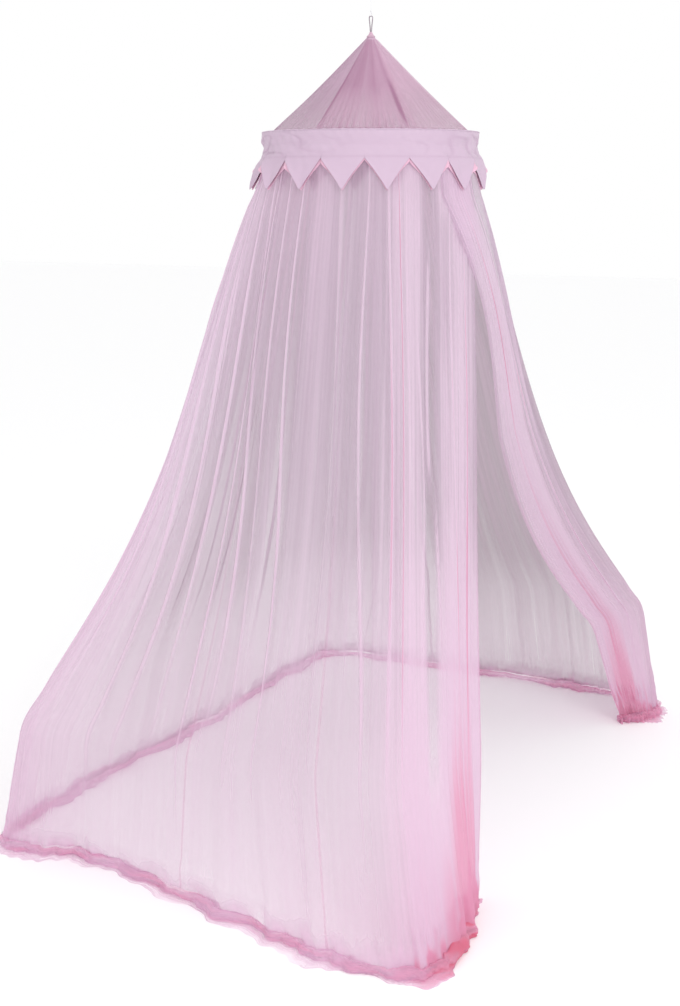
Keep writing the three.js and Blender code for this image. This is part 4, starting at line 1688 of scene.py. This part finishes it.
    def pleat_shape(self, cloth: np.ndarray, height: np.ndarray) -> tuple[np.ndarray, np.ndarray]:
        """Narrow folds of the cloth.

        Args:
            cloth: Metres of cloth, columns by rows.
            height: Heights above the floor, columns by rows.

        Returns:
            How far the folds stand out, as shares, and the cloth tucked into them.
        """
        rise, tuck = np.zeros(cloth.shape), np.zeros(cloth.shape)
        nearest, furthest = cloth.min(axis=1), cloth.max(axis=1)
        for pleat in self.pleats:
            reach = 3 * max(pleat.widths) + 2 * abs(pleat.lean) + self.pleat_sway
            near = (nearest < pleat.cloth + reach) & (furthest > pleat.cloth - reach)
            if not near.any():
                continue
            h = height[near]
            sway = self.pleat_sway * np.sin(3.4 * h + 37 * pleat.cloth)
            across = cloth[near] - pleat.cloth - pleat.lean * (h - 1.2) - sway
            across = across / np.where(across < 0, pleat.widths[0], pleat.widths[1])
            lasting = ramp(h, pleat.head, pleat.head - 0.5) * ramp(h, pleat.foot, pleat.foot + 0.5)
            fold = bell(across, 0, 1) * lasting
            rise[near] += pleat.rise * fold
            tuck[near] += pleat.tuck * fold
        return rise, tuck

    def leaf_share(self, station: np.ndarray) -> np.ndarray:
        """How near a station is to a free edge.

        Args:
            station: The stations.

        Returns:
            1 at the two free edges and 0 past the leaves.
        """
        return ramp(station, 2.3, 0) ** 0.6 + ramp(station, 14.2, 16.0) ** 0.6

    def folded(self, station: np.ndarray, height: np.ndarray) -> Fall:
        """Net with its folds.

        Args:
            station: Stations, columns by rows.
            height: Heights above the floor, columns by rows.

        Returns:
            Its points, their outward directions and what its layers are counted from.
        """
        s, h = np.broadcast_arrays(station, height)
        cloth = self.cloth_at(s)
        base = self.plain(s, h)
        behind, ahead = np.clip(s - 0.02, 0, LAST_STATION), np.clip(s + 0.02, 0, LAST_STATION)
        run = (self.plain(ahead, h) - self.plain(behind, h))[..., :2] / (ahead - behind)[..., None]
        speed = np.linalg.norm(run, axis=-1)
        outward = np.stack([-run[..., 1], run[..., 0]], -1) / speed[..., None]
        spread = speed / np.interp(s, self.grid, self.rate)
        high = ramp(h, self.top, self.top - 0.5)
        main = np.cos(TAU * self.main_folds * s) * self.main_depth * speed / self.main_folds * high
        wander = 0.25 * np.sin(3.1 * cloth + 0.8 * h) + 0.12 * np.sin(9.7 * cloth)
        waves = 0.35 * np.cos(TAU * (7.2 * cloth + wander)) + 0.8 * ripple(cloth * 3.4, h * 0.12, 44)
        soft = waves * self.soft_depth * np.clip(spread, 0.1, 1) * (0.3 + 0.7 * high)
        rise, tuck = self.pleat_shape(cloth, h)
        narrow = rise * self.narrow_depth * np.clip(spread, 0.05, 1) ** 0.8 * (0.35 + 0.65 * high)
        taut = 1 - 0.55 * bell(h, self.mattress, 0.13) * (1 - np.clip(self.leaf_share(s), 0, 1))
        broad, fine = self.crumple_depths
        crumple = broad * ripple(cloth * 1.6, h * 3.0, 41) + fine * ripple(cloth * 5.0, h * 9.0, 42)
        offset = (main + soft + narrow) * taut * (0.3 + 0.7 * ramp(h, 0, 0.35))
        offset = offset + crumple * ramp(h, 0.22, 0.02)
        cap = 0.0032 + 10.0 * ramp(h, self.throat, self.throat - 0.25) ** 2
        offset = cap * np.tanh(offset / cap)
        points = base.copy()
        points[..., :2] += outward * offset[..., None]
        return Fall(base[..., :2], points, outward, offset, spread, tuck)

    def layers(self, fall: Fall) -> np.ndarray:
        """Layers of net seen square on, from how the cloth is drawn together and folded.

        Args:
            fall: How the net falls.

        Returns:
            The layers, columns by rows.
        """
        stride = np.linalg.norm(np.gradient(fall.plan, axis=0), axis=-1)
        slope = np.clip(np.abs(np.gradient(fall.offset, axis=0)) / np.maximum(stride, 1e-6), 0, 2.5)
        weight = np.sqrt(1 + slope**2) * (1 + fall.tuck)
        reach = min(25, len(weight) // 3)
        padded = np.concatenate([weight[reach:0:-1], weight, weight[-2:-reach - 2:-1]])
        total = np.cumsum(np.concatenate([np.zeros((1, weight.shape[1])), padded]), axis=0)
        mean = (total[2 * reach + 1:] - total[:-2 * reach - 1]) / (2 * reach + 1)
        return np.clip(weight / mean / fall.spread, 0.7, 24.0)

    def heaped(self, layers: np.ndarray, s: np.ndarray, h: np.ndarray) -> np.ndarray:
        """Loosens the bunches under the hoop and heaps the net up in the leaves and on the floor.

        Args:
            layers: Layers of net, columns by rows.
            s: Stations, one column.
            h: Heights above the floor, one row.

        Returns:
            The layers, columns by rows.
        """
        cloth = self.cloth_at(s)
        bunched = np.interp(s, self.grid, self.bunched)
        layers = layers * (1 - np.where(s < 8, 0.1, 0.5) * bunched * ramp(h, 0.9, 1.7))
        low_leaf = np.clip(self.leaf_share(s), 0, 1) * ramp(h, 1.1, 0.2)
        layers = layers * (1 + low_leaf * np.where(s < 8, 2.8, 1.1))
        layers = layers * (1 + 1.6 * ramp(h, 0.075, 0.025) * (1 + ripple(cloth * 2.5, h * 6, 43)))
        front, right = self.front_heap, self.right_heap
        heap = bell(s, front.station, front.spread) * eased(h, front.top, front.full)
        layers = np.maximum(layers * (1 + 1.5 * heap), front.layers * heap)
        heap = bell(s, right.station, right.spread) * ramp(h, right.top, right.full)
        uneven = 1 + 0.4 * ripple(cloth * 4.0, h * 1.5, 45)
        return np.maximum(layers, right.layers * heap * uneven)

    def ease(self, points: np.ndarray, rows: np.ndarray) -> np.ndarray:
        """Rounds the net where it turns down over the mattress edge.

        Args:
            points: Columns by rows by three.
            rows: The rows' heights above the floor.

        Returns:
            The eased points.
        """
        eased_points = points.copy()
        weight = bell(rows, self.mattress, 0.06)[None, 1:-1, None] * 0.5
        for _ in range(4):
            middle = (eased_points[:, :-2] + eased_points[:, 2:]) / 2
            eased_points[:, 1:-1, :2] += (weight * (middle - eased_points[:, 1:-1]))[..., :2]
        return eased_points

    # Pieces

    def stations(self, piece: NetPiece, step: float) -> np.ndarray:
        """Stations of a piece's columns, at even steps of cloth.

        Args:
            piece: Where it runs.
            step: Metres of cloth between columns.

        Returns:
            The stations in order.
        """
        ends = np.array([piece.first, piece.last]) / CAD_COLUMNS
        first, last = self.cloth_at(ends)
        count = max(8, int((last - first) / step))
        station = self.station_at(np.linspace(first, last, count + 1))
        station[[0, -1]] = ends
        return station

    def mount(self, obj: bpy.types.Object, piece: NetPiece) -> None:
        """Puts a piece of net on the crown, or, where the piece has a leaf, only puts its place into its
        mesh.

        Args:
            obj: The piece.
            piece: Which length of net it belongs to.
        """
        crown = Body.CROWN.value
        if piece.swing is None:
            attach(obj, crown)
        elif piece.swing is Body.FRONT_LEAF:
            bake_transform(obj)
        else:
            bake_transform(obj)

    def width(self, piece: NetPiece) -> None:
        """One width of net, with painted shade on the far side.

        Args:
            piece: Where it runs.
        """
        station, rows = self.stations(piece, self.cloth_step), self.rows()
        s, h = station[:, None], rows[None, :]
        fall = self.folded(s, h)
        # Painted shade on the far side's widths, lighter near the floor; there the net also gets more cover.
        far = eased(s, 7.1, 8.5) * eased(s, 15.3, 13.4)
        shade = far * (0.82 + 0.08 * ramp(h, 1.9, 0.7)) * (0.6 + 0.4 * ramp(h, 0.15, 0.60))
        layers = self.heaped(self.layers(fall), s, h) * (1 + 1.3 * shade**2)
        uv = cloth_uv(self.cloth_at(station), rows)
        obj = cloth_mesh(piece.name, self.ease(fall.points, rows), uv, gather=layers, shade=shade)
        dress(obj, self.finishes.net, None, [piece.node])
        self.mount(obj, piece)
        flat = (mesh_area(obj) / 2.35 * 1.02, 2.4)

    def hem(self, piece: NetPiece) -> None:
        """The gathered hem of one width: a crumpled rope of net with a thin skirt outside it.

        Args:
            piece: Where it runs.
        """
        station = self.stations(piece, self.hem_step)
        place = station[:, None]
        q = np.linspace(0, 1, 50)[None, :]
        fall = self.folded(place, np.array([[self.hem_top]]))
        section = np.array(self.hem_section) * 0.001
        turn = (len(section) - 1) * q
        across, up = smooth_at(section[:, 0], turn), smooth_at(section[:, 1], turn)
        skirt = ramp(q, 0.76, 1)
        joined = ramp(q, 0, 0.06)
        leaf = ramp(place, 2.6, 0) ** 0.5 + ramp(place, 14.6, 16.0) ** 0.5
        puddle = bell(place, 1.15, 0.75)
        calm = 1 - 0.65 * ramp(place, 14.0, 15.2)
        thick = 0.95 + 0.5 * ripple(place * 0.6, 0 * q, 31) + 0.3 * leaf + 1.2 * puddle
        thick = thick * (0.5 + 0.5 * ramp(place, 0, 0.6))
        reach = 0.8 + 0.6 * ripple(place * 0.5, 0 * q, 32) - 0.3 * leaf
        strands = 0.0045 * ripple(place * 0.9, q * 4.5, 33) + 0.0018 * ripple(place * 3.0, q * 9.0, 34)
        lift = 0.0040 * ripple(place * 1.0, q * 4.0, 36) + 0.0022 * ripple(place * 4.0, q * 8.0, 37)
        strands, lift = calm * strands, calm * lift
        wander = 0.011 * ripple(place * 0.35, 0 * q, 38) - 0.045 * bell(place, 0.8, 0.85)
        sideways = across * (thick + (reach - thick) * skirt) + (strands + wander) * joined
        lifted = np.maximum(up * (0.7 + 0.35 * thick) + lift * joined * (1 - 0.7 * skirt), 0.0007)
        lifted = lifted + (self.hem_top - lifted) * (1 - joined)
        plan = fall.points[..., :2] + fall.outward * sideways[..., None]
        points = np.concatenate([plan, (lifted - CEILING)[..., None]], -1)
        uv = cloth_uv(self.cloth_at(station), np.linspace(0, self.hem_width, q.size))[..., ::-1]
        layers = (2.1 + 2.0 * leaf + 7.0 * puddle) * (1 - 0.5 * skirt)
        layers = np.maximum(layers * (1 + 0.6 * ripple(place * 0.7, q * 4, 35)), 0.6)
        obj = cloth_mesh("hem_" + piece.name.removeprefix("net_"), points, uv, gather=layers)
        dress(obj, self.finishes.hem, None, [piece.hem_node])
        self.mount(obj, piece)
        mesh_area(obj) / 0.14

    def strip(self, node: str, station: float, side: float, piece: NetPiece) -> None:
        """A narrow doubled strip that follows the net, just outside it.

        Args:
            node: The CAD node that it replaces.
            station: Where it runs.
            side: Where its middle lies from that station, as a share of its width.
            piece: The length of net that it is sewn to.
        """
        rows = self.rows()
        h = rows[None, :]
        near = np.clip(np.array([[station - 0.05], [station + 0.05]]), 0, LAST_STATION)
        ends = self.plain(near, h)
        speed = np.linalg.norm(ends[1] - ends[0], axis=-1) / (near[1] - near[0])
        across = np.linspace(side - 0.5, side + 0.5, self.strip_columns)[:, None]
        fall = self.folded(station + across * self.strip_width / speed[None, :], h)
        points = self.ease(fall.points, rows)
        points[..., :2] += fall.outward * self.strip_lift
        uv = cloth_uv(np.linspace(0, self.strip_width, self.strip_columns), rows)
        obj = cloth_mesh("net_" + node, points, uv, gather=np.full(points.shape[:2], 1.2))
        dress(obj, self.finishes.seam, None, [node])
        self.mount(obj, piece)
        mesh_area(obj)

    def seams(self) -> None:
        """The upright seams between the widths."""
        for node, index in (
            ("foot_seam_right", 2),
            ("foot_seam_left", 3),
            ("left_side_seam", 3),
            ("left_head_seam", 4),
            ("head_seam", 5),
        ):
            piece = self.pieces[index]
            column = piece.first if node.startswith("foot") else piece.last
            self.strip(node, column / CAD_COLUMNS, 0.0, piece)

    def free_edges(self) -> None:
        """The hemmed edges at the way in."""
        self.strip("front_leaf_edge", 0.0, 0.5, self.pieces[0])
        self.strip("right_leaf_edge", LAST_STATION, -0.5, self.pieces[-1])


# Studio


@dataclass
class Studio:
    """Pale floor, soft lights and the camera at the photograph's angle."""

    eye: Triple = (2.1469, -4.5106, -0.6922)
    azimuth: float = 26.585
    tilt: float = 11.81
    lens: float = 53.68
    sensor_height: float = 36.0
    floor_size: float = 60.0

    def build(self) -> None:
        """Makes the camera, the lights and the floor."""
        self.camera()
        self.lamp("key", (4.6, -4.2, 2.0), (0, 0, -1.2), 150)
        self.lamp("fill", (-4.5, -3.5, 0.6), (0, 0, -1.4), 15)
        self.surround()
        self.floor()
        bpy.context.scene.view_settings.view_transform = "Standard"
        bpy.context.scene.cycles.transparent_max_bounces = 64
        bpy.context.scene.cycles.max_bounces = 8

    def camera(self) -> None:
        """The camera, level from side to side."""
        data = bpy.data.cameras.new("camera")
        data.sensor_fit = "VERTICAL"
        data.sensor_height = self.sensor_height
        data.lens = self.lens
        camera = bpy.data.objects.new("camera", data)
        camera.location = self.eye
        camera.rotation_euler = (math.radians(90 - self.tilt), 0.0, math.radians(self.azimuth))
        bpy.context.scene.collection.objects.link(camera)
        bpy.context.scene.camera = camera

    def lamp(self, name: str, place: Triple, aim: Triple, power: float) -> None:
        """One square soft light, three metres wide.

        Args:
            name: Its name.
            place: Where it stands.
            aim: What it points at.
            power: Its power, in watts.
        """
        data = bpy.data.lights.new(name, "AREA")
        data.size = 3.0
        data.energy = power
        lamp = bpy.data.objects.new(name, data)
        lamp.location = place
        lamp.rotation_euler = (Vector(aim) - Vector(place)).to_track_quat("-Z", "Y").to_euler()
        bpy.context.scene.collection.objects.link(lamp)

    def surround(self) -> None:
        """An even white surround."""
        world = bpy.data.worlds.new("surround")
        world.use_nodes = True
        tree = world.node_tree
        tree.nodes.clear()
        background = tree.nodes.new("ShaderNodeBackground")
        background.inputs["Color"].default_value = (1.0, 1.0, 1.0, 1.0)
        background.inputs["Strength"].default_value = 1.0
        output = tree.nodes.new("ShaderNodeOutputWorld")
        tree.links.new(background.outputs[0], output.inputs[0])
        bpy.context.scene.world = world

    def floor(self) -> None:
        """A wide pale floor."""
        deselect()
        bpy.ops.mesh.primitive_plane_add(size=self.floor_size, location=(0, 0, -CEILING - 0.0005))
        floor = bpy.context.object
        floor.name = "floor"
        sheet = NodeSheet("pale_floor")
        shader = sheet.add("BsdfPrincipled", Base_Color=(0.98, 0.98, 0.985, 1), Roughness=0.8)
        floor.data.materials.append(sheet.finish(shader))


def corners(bounds: Sequence[Sequence[float]]) -> list[list[float]]:
    """A box's two corners as plain lists.

    Args:
        bounds: The lowest and the highest corner.

    Returns:
        The same corners.
    """
    return [[float(v) for v in corner] for corner in bounds]


def main() -> None:
    """Builds the canopy over the frame."""
    logging.basicConfig(level=logging.INFO, format="%(message)s")
    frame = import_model()
    Studio().build()
    finishes = Finishes()
    builders: list[tuple[str, Callable[[], None]]] = [
        ("suspension", Suspension(finishes).build),
        ("cone", Cone(finishes).build),
        ("hoop", HoopAssembly(finishes, frame).build),
        ("valance", Valance(finishes).build),
        ("net", NetCurtain(finishes).build),
    ]
    for name, build in builders:
        LOG.info("building %s", name)
        build()
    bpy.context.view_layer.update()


if __name__ == "__main__":
    main()
